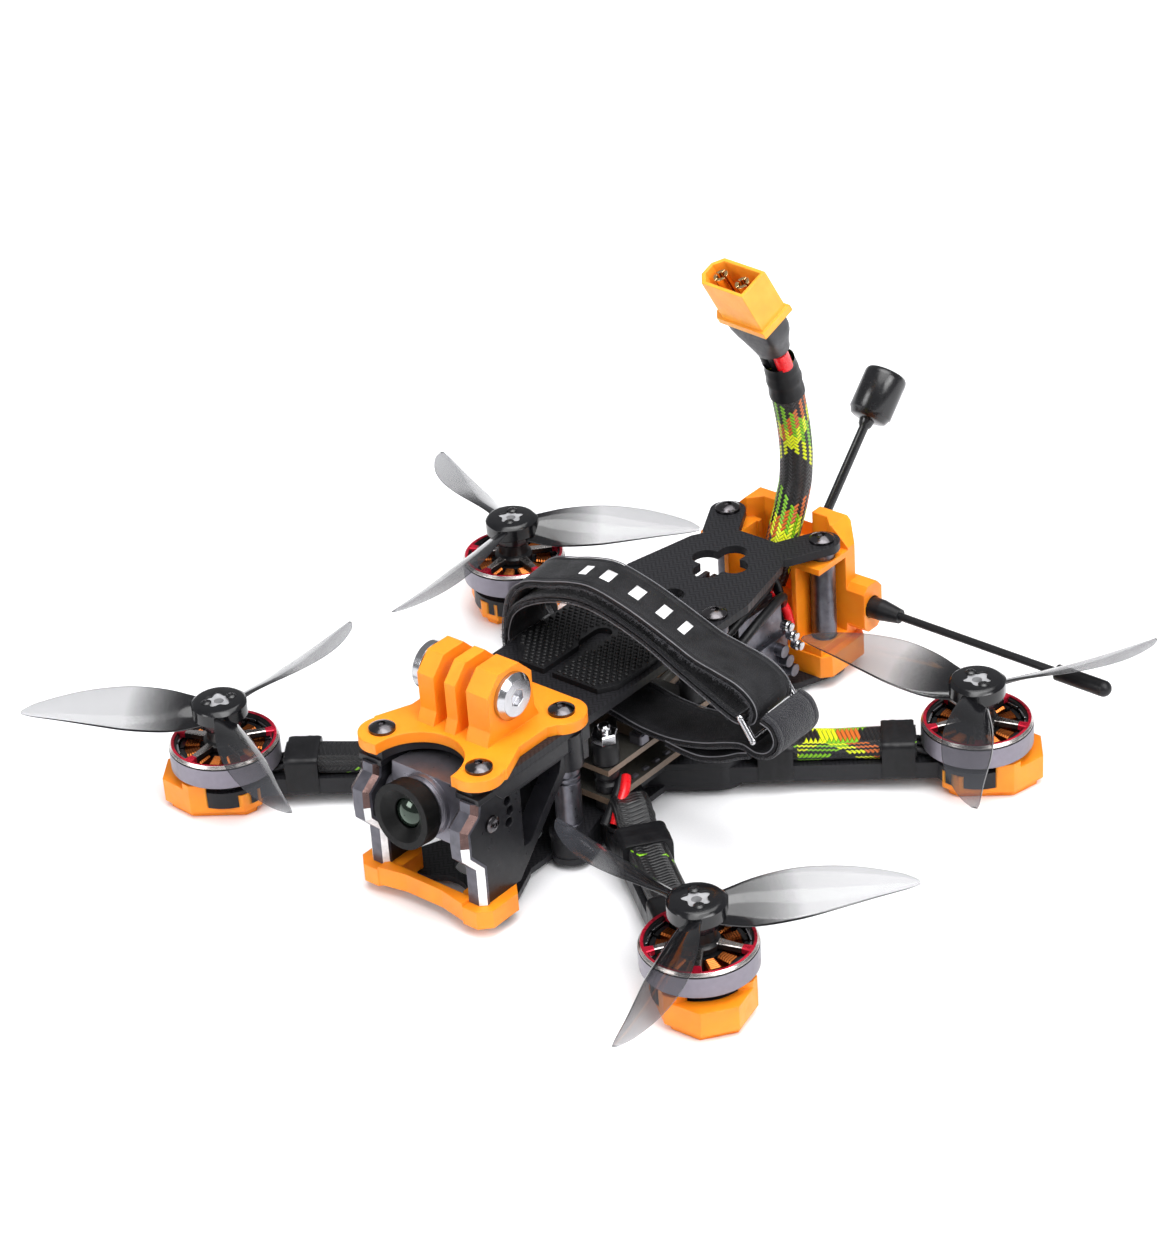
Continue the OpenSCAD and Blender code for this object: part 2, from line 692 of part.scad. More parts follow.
module motor_wires() {
    wire_w = 8.6;
    end_r = 70.3;
    color("#2f3a1d") for (sx = [-1, 1], sy = [-1, 1]) on_arm(sx, sy) {
        translate([0, wire_w / 2, 0]) rotate([90, 0, 0]) linear_extrude(wire_w)
            polygon([[34.5, mid_z], [end_r, mid_z], [end_r, mid_z + 4.8], [35, mid_z + 4.8],
                     [30.5, bay_z + 6.4], [27, bay_z + 6.4], [27, bay_z + 2.4], [31, bay_z + 2.3]]);
        for (k = [-1, 0, 1]) translate([end_r - 0.2, k * 2.4, mid_z + 1.1]) rotate([0, 90, 0])
            cylinder(r = 0.9, h = 3.6);
    }
}

module wire_bands() {
    wall = 0.8;
    spans = [[35.2, 43], [62.5, 69.8]];
    color("#17171a") for (sx = [-1, 1], sy = [-1, 1], s = spans) on_arm(sx, sy)
        translate([s[0], 0, 0]) rotate([90, 0, 90]) linear_extrude(s[1] - s[0]) difference() {
            translate([-arm_w / 2 - wall, arm_z - wall])
                square([arm_w + 2 * wall, arm_t + 4.8 + 2 * wall]);
            translate([-arm_w / 2, arm_z]) square([arm_w, arm_t]);
            translate([-4.3, mid_z - 0.1]) square([8.6, 4.9]);
        }
}

// ---------- battery lead and connector ----------

function unit(v) = v / norm(v);

function tangent(route, i) =
    unit(route[min(i + 1, len(route) - 1)] - route[max(i - 1, 0)]);

// Tube of a given radius swept along a route that stays near the YZ plane
module swept_tube(route, r, sides) {
    rings = [for (i = [0 : len(route) - 1])
        let (t = tangent(route, i), u = unit(cross(t, [1, 0, 0])), v = cross(t, u))
        [for (k = [0 : sides - 1]) route[i] + r * (cos(360 * k / sides) * u + sin(360 * k / sides) * v)]];
    last = (len(rings) - 1) * sides;
    walls = [for (i = [0 : len(rings) - 2]) for (k = [0 : sides - 1])
        let (a = i * sides + k, b = i * sides + (k + 1) % sides) each
            [[a, b + sides, b], [a, a + sides, b + sides]]];
    first_cap = [for (k = [0 : sides - 1]) k];
    last_cap = [for (k = [0 : sides - 1]) last + sides - 1 - k];
    polyhedron([for (ring = rings) for (p = ring) p], concat(walls, [first_cap, last_cap]));
}

module power_lead() {
    color("#3b4a14") swept_tube(lead_route, lead_d / 2, lead_sides);
}

// Puts its children where the lead ends: +Z runs out through the connector's mouth
module at_connector() {
    translate(lead_route[len(lead_route) - 1]) rotate(connector_turn) children();
}

// Connector section with the two cut corners on its -X end
module shell2d(w, d, cut) {
    polygon([[-w / 2 + cut, -d / 2], [w / 2, -d / 2], [w / 2, d / 2], [-w / 2 + cut, d / 2],
             [-w / 2, d / 2 - cut], [-w / 2, -d / 2 + cut]]);
}

module connector_boot() {
    color("#3c3c42") at_connector() difference() {
        translate([0, 0, 0.3]) union() {
            translate([0, 0, boot_len - 6]) linear_extrude(5.7) shell2d(14.6, 7.6, 1.6);
            linear_extrude(boot_len - 6) union() {
                bar2d([-2.4, 0], [2.4, 0], 3.7);
            }
        }
        translate([0, 0, boot_len - 5]) linear_extrude(10) shell2d(12.6, 5.6, 1.2);
    }
}

module connector_housing() {
    color("#f7a928") at_connector() translate([0, 0, boot_len]) difference() {
        union() {
            linear_extrude(collar_len) shell2d(17.4, 9.4, 1.8);
            translate([0, 0, collar_len]) linear_extrude(shell_len) shell2d(15.8, 8.1, 2.3);
        }
        translate([0, 0, collar_len + 1.5]) linear_extrude(shell_len) shell2d(14, 6.5, 2);
        for (sx = [-1, 1]) translate([sx * 3.6, 0, -1]) cylinder(r = 1.8, h = 5);
    }
}

module connector_pins() {
    color("#d9b25a") at_connector() for (sx = [-1, 1]) translate([sx * 3.6, 0, boot_len - 4]) {
        difference() {
            cylinder(r = 1.75, h = 15.8);
            translate([0, 0, 7]) cylinder(r = 0.95, h = 10);
            for (a = [0, 90]) rotate(a) translate([-3, -0.2, 8]) cube([6, 0.4, 10]);
        }
    }
}

// ---------- strap ----------

module battery_strap() {
    slack = 0.35;
    color("#1b1b1d") translate([0, strap_front_y + strap_w, 0]) rotate([90, 0, 0])
        linear_extrude(strap_w) difference() {
            polygon(strap_outer);
            polygon(strap_inner);
            bar2d(ring_top, ring_low, ring_wire_r + slack);
        }
}

module strap_ring() {
    over = 1.2;
    corner_r = ring_wire_r + 0.06;
    y0 = strap_front_y - over;
    y1 = strap_front_y + strap_w + over;
    color("#d5d7db") {
        for (p = [ring_top, ring_low]) {
            translate([p[0], y0, p[1]]) rotate([-90, 0, 0]) cylinder(r = ring_wire_r, h = y1 - y0);
            for (y = [y0, y1]) translate([p[0], y, p[1]]) sphere(r = corner_r);
        }
        d = ring_top - ring_low;
        for (y = [y0, y1]) translate([ring_low[0], y, ring_low[1]])
            rotate([0, atan2(d[0], d[1]), 0]) cylinder(r = ring_wire_r, h = norm(d));
    }
}

// ---------- standoffs and screws ----------

module post(p, low, high, lower_hole) {
    groove = 0.35;
    translate([p[0], p[1], 0]) difference() {
        translate([0, 0, low]) cylinder(r = 2.95, h = high - low);
        translate([0, 0, low - 1]) cylinder(r = screw_r, h = 7);
        translate([0, 0, high - 6]) cylinder(r = screw_r, h = 7);
        for (z = [low + 2, high - 2.6, high - 4]) translate([0, 0, z]) difference() {
            cylinder(r = 4, h = 0.6);
            translate([0, 0, -1]) cylinder(r = 2.95 - groove, h = 3);
        }
    }
}

module standoffs() {
    color("#5b5c63") both_sides() {
        post(front_post, bay_z, top_z - 8.5);
        post(mid_post, bay_z, top_z);
        post(rear_post, bay_z, top_z);
    }
}

module top_screws() {
    mount_t = 2.5;
    color("#2b2b2f") both_sides() {
        for (p = [front_ear, front_post]) translate([p[0], p[1], deck_z + mount_t])
            button_screw(p == front_ear ? 1.3 : screw_r, mount_t + top_t + 5, head_r, 1.7);
        for (p = [mid_post, rear_post]) translate([p[0], p[1], deck_z])
            button_screw(screw_r, top_t + 5, head_r, 1.7);
    }
}

module bottom_screws() {
    motor_screw_r = 0.8;
    color("#3a3a3f") {
        all_quarters() translate([arm_hole[0], arm_hole[1], 0]) {
            translate([0, 0, -low_head_h]) cylinder(r = screw_r, h = bay_z + low_head_h);
            translate([0, 0, -low_head_h]) cylinder(r = 2.7, h = low_head_h);
            translate([0, 0, bay_z]) cylinder(r = 2.9, h = 2, $fn = 6);
        }
        both_sides() {
            for (p = [front_post, mid_post, rear_post]) translate([p[0], p[1], -low_head_h]) {
                cylinder(r = 2.7, h = low_head_h);
                cylinder(r = screw_r, h = low_head_h + bay_z + 5);
            }
            translate([front_ear[0], front_ear[1], -low_head_h]) {
                cylinder(r = 2.7, h = low_head_h);
                cylinder(r = 1.3, h = low_head_h + mid_z + 5);
            }
        }
        for (sx = [-1, 1], sy = [-1, 1]) on_motor(sx, sy) for (a = [45 : 90 : 315]) rotate(a)
            translate([6, 0, 0]) {
                translate([0, 0, arm_z - 1.2]) cylinder(r = 1.6, h = 1.2);
                translate([0, 0, arm_z - 1.2]) cylinder(r = motor_screw_r, h = arm_t + 2.6);
            }
    }
}

// ---------- one module per node ----------

module arm_front_left() { arm(1, -1); }
module arm_front_right() { arm(-1, -1); }
module arm_rear_left() { arm(1, 1); }
module arm_rear_right() { arm(-1, 1); }
module foot_front_left() { foot(1, -1); }
module foot_front_right() { foot(-1, -1); }
module foot_rear_left() { foot(1, 1); }
module foot_rear_right() { foot(-1, 1); }
module side_plate_left() { side_plate(1); }
module side_plate_right() { side_plate(-1); }
module motor_base_front_left() { motor_base(1, -1); }
module motor_base_front_right() { motor_base(-1, -1); }
module motor_base_rear_left() { motor_base(1, 1); }
module motor_base_rear_right() { motor_base(-1, 1); }
module stator_front_left() { stator(1, -1); }
module stator_front_right() { stator(-1, -1); }
module stator_rear_left() { stator(1, 1); }
module stator_rear_right() { stator(-1, 1); }
module bell_front_left() { bell(1, -1); }
module bell_front_right() { bell(-1, -1); }
module bell_rear_left() { bell(1, 1); }
module bell_rear_right() { bell(-1, 1); }
module propeller_front_left() { propeller(1, -1, turn_front_left, 1); }
module propeller_front_right() { propeller(-1, -1, turn_front_right, -1); }
module propeller_rear_left() { propeller(1, 1, turn_rear_left, -1); }
module propeller_rear_right() { propeller(-1, 1, turn_rear_right, 1); }
module prop_screws_front_left() { prop_screws(1, -1, turn_front_left); }
module prop_screws_front_right() { prop_screws(-1, -1, turn_front_right); }
module prop_screws_rear_left() { prop_screws(1, 1, turn_rear_left); }
module prop_screws_rear_right() { prop_screws(-1, 1, turn_rear_right); }

bottom_plate();
mid_plate();
top_plate();
battery_pad();
arm_front_left();
arm_front_right();
arm_rear_left();
arm_rear_right();
foot_front_left();
foot_front_right();
foot_rear_left();
foot_rear_right();
side_plate_left();
side_plate_right();
standoffs();
action_camera_mount();
action_mount_bolt();
action_mount_nut();
front_bumper();
rear_mount();
camera_body();
camera_lens();
lens_glass();
camera_screws();
esc_board();
flight_controller();
stack_bolts();
video_unit();
motor_base_front_left();
motor_base_front_right();
motor_base_rear_left();
motor_base_rear_right();
stator_front_left();
stator_front_right();
stator_rear_left();
stator_rear_right();
bell_front_left();
bell_front_right();
bell_rear_left();
bell_rear_right();
propeller_front_left();
propeller_front_right();
propeller_rear_left();
propeller_rear_right();
prop_screws_front_left();
prop_screws_front_right();
prop_screws_rear_left();
prop_screws_rear_right();
motor_wires();
wire_bands();
power_lead();
connector_boot();
connector_housing();
connector_pins();
video_antenna();
receiver_antenna();
battery_strap();
strap_ring();
top_screws();
bottom_screws();
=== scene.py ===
import json
from math import atan2, copysign, cos, hypot, pi, radians, sin
import random

import bmesh
import bpy
from mathutils import Matrix, Vector, noise


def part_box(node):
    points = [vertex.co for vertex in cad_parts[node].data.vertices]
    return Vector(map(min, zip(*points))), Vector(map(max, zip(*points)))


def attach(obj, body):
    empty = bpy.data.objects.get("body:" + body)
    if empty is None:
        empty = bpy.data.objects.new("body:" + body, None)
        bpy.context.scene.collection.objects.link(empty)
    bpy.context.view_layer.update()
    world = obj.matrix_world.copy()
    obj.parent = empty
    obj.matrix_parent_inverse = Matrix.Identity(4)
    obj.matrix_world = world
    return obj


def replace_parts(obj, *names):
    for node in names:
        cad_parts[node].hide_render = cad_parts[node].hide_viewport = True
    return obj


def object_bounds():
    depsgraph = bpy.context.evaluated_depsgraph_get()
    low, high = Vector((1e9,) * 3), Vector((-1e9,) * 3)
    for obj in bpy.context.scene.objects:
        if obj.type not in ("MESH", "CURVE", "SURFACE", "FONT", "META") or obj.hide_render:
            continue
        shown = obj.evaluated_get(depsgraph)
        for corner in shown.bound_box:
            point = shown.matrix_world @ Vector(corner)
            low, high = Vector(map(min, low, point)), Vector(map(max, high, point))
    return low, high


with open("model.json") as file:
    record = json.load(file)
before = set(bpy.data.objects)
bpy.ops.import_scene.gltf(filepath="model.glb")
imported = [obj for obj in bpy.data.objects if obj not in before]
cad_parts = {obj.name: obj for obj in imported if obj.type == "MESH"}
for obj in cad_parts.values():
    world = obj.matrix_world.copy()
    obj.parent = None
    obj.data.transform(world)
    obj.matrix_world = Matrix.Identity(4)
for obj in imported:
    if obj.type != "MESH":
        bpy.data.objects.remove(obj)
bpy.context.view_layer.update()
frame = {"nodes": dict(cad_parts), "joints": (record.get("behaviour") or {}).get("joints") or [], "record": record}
NODES = frame["nodes"]
MM = 0.001

CORNERS = {"front_left": (1, -1), "front_right": (-1, -1),
           "rear_left": (1, 1), "rear_right": (-1, 1)}


# ---------- camera, light and floor ----------

def make_camera():
    """The photograph's viewing angle: ahead of the nose, to the drone's left and above it."""
    right = Vector((0.772, 0.633, -0.061)).normalized()
    back = right.cross(Vector((-0.282, 0.427, 0.8595))).normalized()
    up = back.cross(right)
    turn = Matrix((right, up, back)).transposed().to_4x4()
    data = bpy.data.cameras.new("camera")
    data.lens = 98.07
    data.sensor_width = 36
    data.clip_start = 0.05
    data.clip_end = 20
    camera = bpy.data.objects.new("camera", data)
    camera.matrix_world = Matrix.Translation((0.421, -0.4782, 0.4159)) @ turn
    bpy.context.scene.collection.objects.link(camera)
    bpy.context.scene.camera = camera


def area_light(name, place, target, size, power, color=(1, 1, 1)):
    data = bpy.data.lights.new(name, "AREA")
    data.shape = "RECTANGLE"
    data.size, data.size_y = size
    data.energy = power
    data.color = color
    light = bpy.data.objects.new(name, data)
    aim = (Vector(target) - Vector(place)).to_track_quat("-Z", "Y")
    light.matrix_world = Matrix.Translation(place) @ aim.to_matrix().to_4x4()
    bpy.context.scene.collection.objects.link(light)


def make_studio():
    """Pale floor, dim white surroundings, three soft boxes and one wide soft sun."""
    scene = bpy.context.scene
    scene.view_settings.view_transform = "Standard"
    world = bpy.data.worlds.new("studio")
    world.use_nodes = True
    world.node_tree.nodes["Background"].inputs["Color"].default_value = (0.96, 0.97, 1, 1)
    world.node_tree.nodes["Background"].inputs["Strength"].default_value = 0.34
    scene.world = world
    area_light("overhead", (0.1, 0.25, 1.1), (0, 0, 0), (0.9, 0.9), 9)
    area_light("left_box", (0.9, -0.1, 0.7), (0, 0, 0.02), (0.6, 0.4), 7)
    area_light("front_box", (-0.35, -0.95, 0.55), (0, 0, 0.02), (0.5, 0.4), 5)
    sun = bpy.data.lights.new("sun", "SUN")
    sun.energy = 2.2
    sun.angle = radians(50)
    lamp = bpy.data.objects.new("sun", sun)
    lamp.matrix_world = Vector((0.25, -0.2, 1)).to_track_quat("Z", "Y").to_matrix().to_4x4()
    scene.collection.objects.link(lamp)

    floor = bmesh.new()
    bmesh.ops.create_grid(floor, x_segments=24, y_segments=24, size=6)
    mesh = bpy.data.meshes.new("floor")
    floor.to_mesh(mesh)
    floor.free()
    plane = bpy.data.objects.new("floor", mesh)
    plane.location = (0, 0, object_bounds()[0][2] - 0.0001)
    pale = look("pale_floor", (0.93, 0.93, 0.95), 0.6)
    cloud(pale, (0.92, 0.92, 0.94), (0.95, 0.95, 0.96), 2)
    mesh.materials.append(pale)
    scene.collection.objects.link(plane)


# ---------- material nodes ----------

def look(name, color, roughness, metallic=0.0, **sockets):
    """A material with one Principled shader; socket names are written with underscores."""
    material = bpy.data.materials.new(name)
    material.use_nodes = True
    shader = material.node_tree.nodes["Principled BSDF"]
    shader.inputs["Base Color"].default_value = (*color, 1)
    shader.inputs["Roughness"].default_value = roughness
    shader.inputs["Metallic"].default_value = metallic
    for socket, value in sockets.items():
        shader.inputs[socket.replace("_", " ")].default_value = value
    return material


def node(material, kind, **settings):
    made = material.node_tree.nodes.new(kind)
    for key, value in settings.items():
        setattr(made, key, value)
    return made


def feed(material, value, socket):
    """Puts a number or another node's output into a socket."""
    if isinstance(value, (int, float)):
        socket.default_value = value
    else:
        material.node_tree.links.new(value, socket)


def calc(material, operation, *values):
    made = node(material, "ShaderNodeMath", operation=operation)
    for value, socket in zip(values, made.inputs):
        feed(material, value, socket)
    return made.outputs[0]


def times(m, a, b):
    return calc(m, "MULTIPLY", a, b)


def plus(m, a, b):
    return calc(m, "ADD", a, b)


def shader_input(material, name):
    return material.node_tree.nodes["Principled BSDF"].inputs[name]


def place_mm(material, stretch=(1, 1, 1)):
    """Object coordinates in millimetres, stretched if asked."""
    coords = node(material, "ShaderNodeTexCoord")
    scale = node(material, "ShaderNodeMapping")
    scale.inputs["Scale"].default_value = [1000 * s for s in stretch]
    feed(material, coords.outputs["Object"], scale.inputs["Vector"])
    return scale.outputs["Vector"]


def axes(material, vector):
    split = node(material, "ShaderNodeSeparateXYZ")
    feed(material, vector, split.inputs[0])
    return split.outputs


def grain(material, scale, stretch=(1, 1, 1), detail=3.0):
    """Noise with a feature size of about 1/scale millimetres."""
    made = node(material, "ShaderNodeTexNoise")
    made.inputs["Scale"].default_value = scale
    made.inputs["Detail"].default_value = detail
    feed(material, place_mm(material, stretch), made.inputs["Vector"])
    return made.outputs["Fac"]


def blend_colors(material, share, color_a, color_b):
    mix = node(material, "ShaderNodeMix", data_type="RGBA")
    feed(material, share, mix.inputs["Factor"])
    for color, socket in ((color_a, mix.inputs["A"]), (color_b, mix.inputs["B"])):
        if isinstance(color, tuple):
            socket.default_value = (*color, 1)
        else:
            feed(material, color, socket)
    return mix.outputs["Result"]


def remap(material, value, low, high, to_low=0.0, to_high=1.0):
    made = node(material, "ShaderNodeMapRange")
    for number, socket in zip((value, low, high, to_low, to_high), made.inputs):
        feed(material, number, socket)
    return made.outputs["Result"]


def cloud(material, color_a, color_b, scale, stretch=(1, 1, 1)):
    """Colour that drifts between two tones."""
    share = remap(material, grain(material, scale, stretch), 0.3, 0.7)
    feed(material, blend_colors(material, share, color_a, color_b), shader_input(material, "Base Color"))


def rough_cloud(material, low, high, scale, stretch=(1, 1, 1)):
    value = remap(material, grain(material, scale, stretch), 0.3, 0.7, low, high)
    feed(material, value, shader_input(material, "Roughness"))


def relief(material, height, depth_mm, strength=1.0, edge_mm=0.0):
    """Bump from a height between 0 and 1, over corners softened by edge_mm."""
    bump = node(material, "ShaderNodeBump")
    bump.inputs["Strength"].default_value = strength
    bump.inputs["Distance"].default_value = depth_mm * MM
    feed(material, height, bump.inputs["Height"])
    if edge_mm:
        bevel = node(material, "ShaderNodeBevel", samples=4)
        bevel.inputs["Radius"].default_value = edge_mm * MM
        feed(material, bevel.outputs[0], bump.inputs["Normal"])
    feed(material, bump.outputs[0], shader_input(material, "Normal"))


# ---------- materials ----------

def carbon_plate():
    """Two-by-two twill on the flats, with painted shade across each tow, and stacked plies on the cut edges."""
    m = look("carbon_plate", (0.01, 0.01, 0.011), 0.4, Specular_IOR_Level=0.22)
    tow = 1.0
    turned = node(m, "ShaderNodeMapping")
    turned.inputs["Rotation"].default_value = (0, 0, radians(45))
    feed(m, place_mm(m), turned.inputs["Vector"])
    x, y, z = axes(m, turned.outputs["Vector"])
    across, along = calc(m, "DIVIDE", x, tow), calc(m, "DIVIDE", y, tow)
    step = plus(m, calc(m, "FLOOR", across), calc(m, "FLOOR", along))
    warp = calc(m, "LESS_THAN", calc(m, "FLOORED_MODULO", step, 4), 1.5)
    crown_a = calc(m, "SINE", times(m, calc(m, "FRACT", across), pi))
    crown_b = calc(m, "SINE", times(m, calc(m, "FRACT", along), pi))
    height = plus(m, times(m, crown_a, warp),
                  times(m, crown_b, calc(m, "SUBTRACT", 1, warp)))
    fibres = plus(m, times(m, grain(m, 1, (9, 0.6, 1)), warp),
                  times(m, grain(m, 1, (0.6, 9, 1)), calc(m, "SUBTRACT", 1, warp)))
    weave = times(m, height, plus(m, 0.35, fibres))
    normal = axes(m, node(m, "ShaderNodeTexCoord").outputs["Normal"])
    edge = calc(m, "LESS_THAN", calc(m, "ABSOLUTE", normal[2]), 0.5)
    plies = calc(m, "SINE", times(m, z, 2 * pi / 0.3))
    # Painted shade: the flats are coloured lighter on each tow's crown and darker at its edges, as light falls on
    # its curve; the fibre streaks in it are real tone.
    weave_painted_shade = blend_colors(m, weave, (0.005, 0.005, 0.006), (0.02, 0.02, 0.023))
    cut = blend_colors(m, remap(m, plies, -1, 1), (0.007, 0.007, 0.008), (0.022, 0.022, 0.025))
    feed(m, blend_colors(m, edge, weave_painted_shade, cut), shader_input(m, "Base Color"))
    feed(m, remap(m, weave, 0, 1, 0.5, 0.32), shader_input(m, "Roughness"))
    relief(m, times(m, weave, calc(m, "SUBTRACT", 1, edge)), 0.03, 0.5, 0.2)
    return m


def orange_tpu():
    """Printed rubbery plastic: faint layers, soft light inside it."""
    m = look("orange_tpu", (0.88, 0.26, 0.009), 0.42, Subsurface_Weight=0.25,
             Subsurface_Radius=(1.0, 0.25, 0.05), Subsurface_Scale=0.0015, Specular_IOR_Level=0.4)
    cloud(m, (0.9, 0.275, 0.01), (0.84, 0.225, 0.007), 0.12)
    rough_cloud(m, 0.36, 0.5, 0.6)
    z = axes(m, place_mm(m))[2]
    layer = calc(m, "SINE", times(m, z, 2 * pi / 0.24))
    height = plus(m, remap(m, layer, -1, 1, 0, 0.45), grain(m, 2.5))
    relief(m, height, 0.03, 0.6, 0.35)
    return m


def painted_metal(name, color, roughness, metallic, edge=0.2, speck=0.2, **sockets):
    """Metal or plastic with a fine finish: blasted, anodised or moulded."""
    m = look(name, color, roughness, metallic, **sockets)
    dark = tuple(c * (1 - speck) for c in color)
    pale = tuple(min(1, c * (1 + speck)) for c in color)
    cloud(m, dark, pale, 0.5)
    rough_cloud(m, roughness * 0.8, min(1, roughness * 1.2), 0.9)
    relief(m, grain(m, 5, detail=4), 0.02, 0.5, edge)
    return m


def turned_metal(name, color, roughness, edge=0.2):
    """Bright metal with fine tool marks that run round it."""
    m = look(name, color, roughness, 1.0)
    cloud(m, tuple(c * 0.9 for c in color), color, 0.8)
    marks = grain(m, 1, (0.5, 0.5, 14), 2)
    feed(m, remap(m, marks, 0.3, 0.7, roughness * 0.7, roughness * 1.4), shader_input(m, "Roughness"))
    relief(m, marks, 0.008, 0.5, edge)
    return m


def braided_sleeve(name, first_limits, second_limits):
    """Woven mesh sleeve by UV: the limits say how many of its 26 strands take each colour."""
    m = look(name, (0.3, 0.5, 0.02), 0.38, Specular_IOR_Level=0.5)
    around, along, _ = axes(m, node(m, "ShaderNodeTexCoord").outputs["UV"])
    strands = 26
    turns = times(m, around, strands)
    lines = [plus(m, turns, along), calc(m, "SUBTRACT", turns, along)]
    both = plus(m, calc(m, "FLOOR", lines[0]), calc(m, "FLOOR", lines[1]))
    over = calc(m, "LESS_THAN", calc(m, "FLOORED_MODULO", both, 4), 1.5)
    under = calc(m, "SUBTRACT", 1, over)
    pick = lambda pair: plus(m, times(m, pair[0], over),
                             times(m, pair[1], under))
    height = pick([calc(m, "SINE", times(m, calc(m, "FRACT", s), pi)) for s in lines])
    fine = pick([calc(m, "SINE", times(m, calc(m, "FRACT", s), 6 * pi)) for s in lines])
    lime, yellow = (0.2, 0.5, 0.008), (0.72, 0.8, 0.008)
    orange, black = (0.6, 0.13, 0.015), (0.008, 0.008, 0.009)
    colors = []
    for line, limits, pair in ((lines[0], first_limits, (yellow, lime)),
                               (lines[1], second_limits, (orange, yellow))):
        index = calc(m, "FLOORED_MODULO", calc(m, "FLOOR", line), strands)
        outer = blend_colors(m, calc(m, "LESS_THAN", index, limits[1] - 0.5), black, pair[1])
        colors.append(blend_colors(m, calc(m, "LESS_THAN", index, limits[0] - 0.5), outer, pair[0]))
    color = blend_colors(m, over, colors[1], colors[0])
    shade = remap(m, plus(m, height, times(m, fine, 0.12)), 0.05, 0.7, 0.2, 1)
    feed(m, blend_colors(m, shade, black, color), shader_input(m, "Base Color"))
    relief(m, plus(m, height, times(m, fine, 0.15)), 0.2, 0.9)
    return m


def leather():
    """Black grained leather with soft creases."""
    m = look("strap_leather", (0.01, 0.01, 0.011), 0.52, Specular_IOR_Level=0.2)
    cells = node(m, "ShaderNodeTexVoronoi", feature="DISTANCE_TO_EDGE")
    cells.inputs["Scale"].default_value = 2.2
    feed(m, place_mm(m), cells.inputs["Vector"])
    pebble = remap(m, cells.outputs["Distance"], 0, 0.35)
    cloud(m, (0.007, 0.007, 0.008), (0.016, 0.016, 0.018), 0.25)
    feed(m, remap(m, pebble, 0, 1, 0.62, 0.42), shader_input(m, "Roughness"))
    relief(m, plus(m, pebble, times(m, grain(m, 0.4), 2)), 0.09, 0.6)
    return m


def fuzz():
    """Napped lining of hook-and-loop strap."""
    m = look("strap_lining", (0.006, 0.006, 0.008), 0.95, Sheen_Weight=0.2, Sheen_Roughness=0.4)
    cloud(m, (0.003, 0.003, 0.005), (0.014, 0.014, 0.02), 2.2)
    relief(m, grain(m, 3.5, detail=5), 0.5, 1.0)
    return m


def smoke_plastic():
    """Clear smoke-grey blades, nearly black at the root."""
    m = look("smoke_plastic", (0.03, 0.03, 0.034), 0.12, Coat_Weight=0.3, Coat_Roughness=0.05)
    x, y, _ = axes(m, place_mm(m))
    radius = calc(m, "SQRT", plus(m, times(m, x, x), times(m, y, y)))
    body = remap(m, radius, 8, 22, 0.95, 0.36)
    facing = node(m, "ShaderNodeLayerWeight")
    facing.inputs["Blend"].default_value = 0.5
    rim = times(m, calc(m, "POWER", facing.outputs["Facing"], 3), 0.55)
    around = axes(m, node(m, "ShaderNodeTexCoord").outputs["UV"])[0]
    swing = calc(m, "COSINE", times(m, around, 2 * pi))
    line = plus(m, times(m, calc(m, "GREATER_THAN", swing, 0.93), 0.6),
                times(m, calc(m, "LESS_THAN", swing, -0.97), 0.2))
    solid = plus(m, plus(m, body, rim), line)
    feed(m, calc(m, "MINIMUM", solid, 1), shader_input(m, "Alpha"))
    share = remap(m, radius, 14, 40)
    tint = blend_colors(m, share, (0.006, 0.006, 0.007), (0.05, 0.052, 0.06))
    feed(m, blend_colors(m, line, tint, (0.004, 0.004, 0.005)), shader_input(m, "Base Color"))
    rough_cloud(m, 0.06, 0.14, 0.2)
    relief(m, grain(m, 0.15), 0.05, 0.25)
    return m


def amber_plastic():
    m = look("amber_plastic", (0.9, 0.37, 0.03), 0.35, Subsurface_Weight=0.2,
             Subsurface_Radius=(1.0, 0.4, 0.08), Subsurface_Scale=0.0012)
    cloud(m, (0.92, 0.39, 0.035), (0.87, 0.33, 0.025), 0.2)
    rough_cloud(m, 0.3, 0.42, 0.8)
    relief(m, grain(m, 3), 0.03, 0.5, 0.35)
    return m


def circuit_board():
    """Solder mask with tracks, and a bronze cut edge."""
    m = look("circuit_board", (0.02, 0.02, 0.022), 0.35, Specular_IOR_Level=0.6)
    bricks = node(m, "ShaderNodeTexBrick")
    bricks.inputs["Scale"].default_value = 0.9
    bricks.inputs["Mortar Size"].default_value = 0.06
    feed(m, place_mm(m), bricks.inputs["Vector"])
    normal = axes(m, node(m, "ShaderNodeTexCoord").outputs["Normal"])
    edge = calc(m, "LESS_THAN", calc(m, "ABSOLUTE", normal[2]), 0.5)
    mask = blend_colors(m, bricks.outputs["Fac"], (0.012, 0.013, 0.014), (0.05, 0.045, 0.035))
    speck = blend_colors(m, grain(m, 2), (0.10, 0.065, 0.045), (0.22, 0.15, 0.1))
    feed(m, blend_colors(m, edge, mask, speck), shader_input(m, "Base Color"))
    rough_cloud(m, 0.3, 0.5, 0.7)
    relief(m, bricks.outputs["Fac"], 0.05, 0.6, 0.1)
    return m


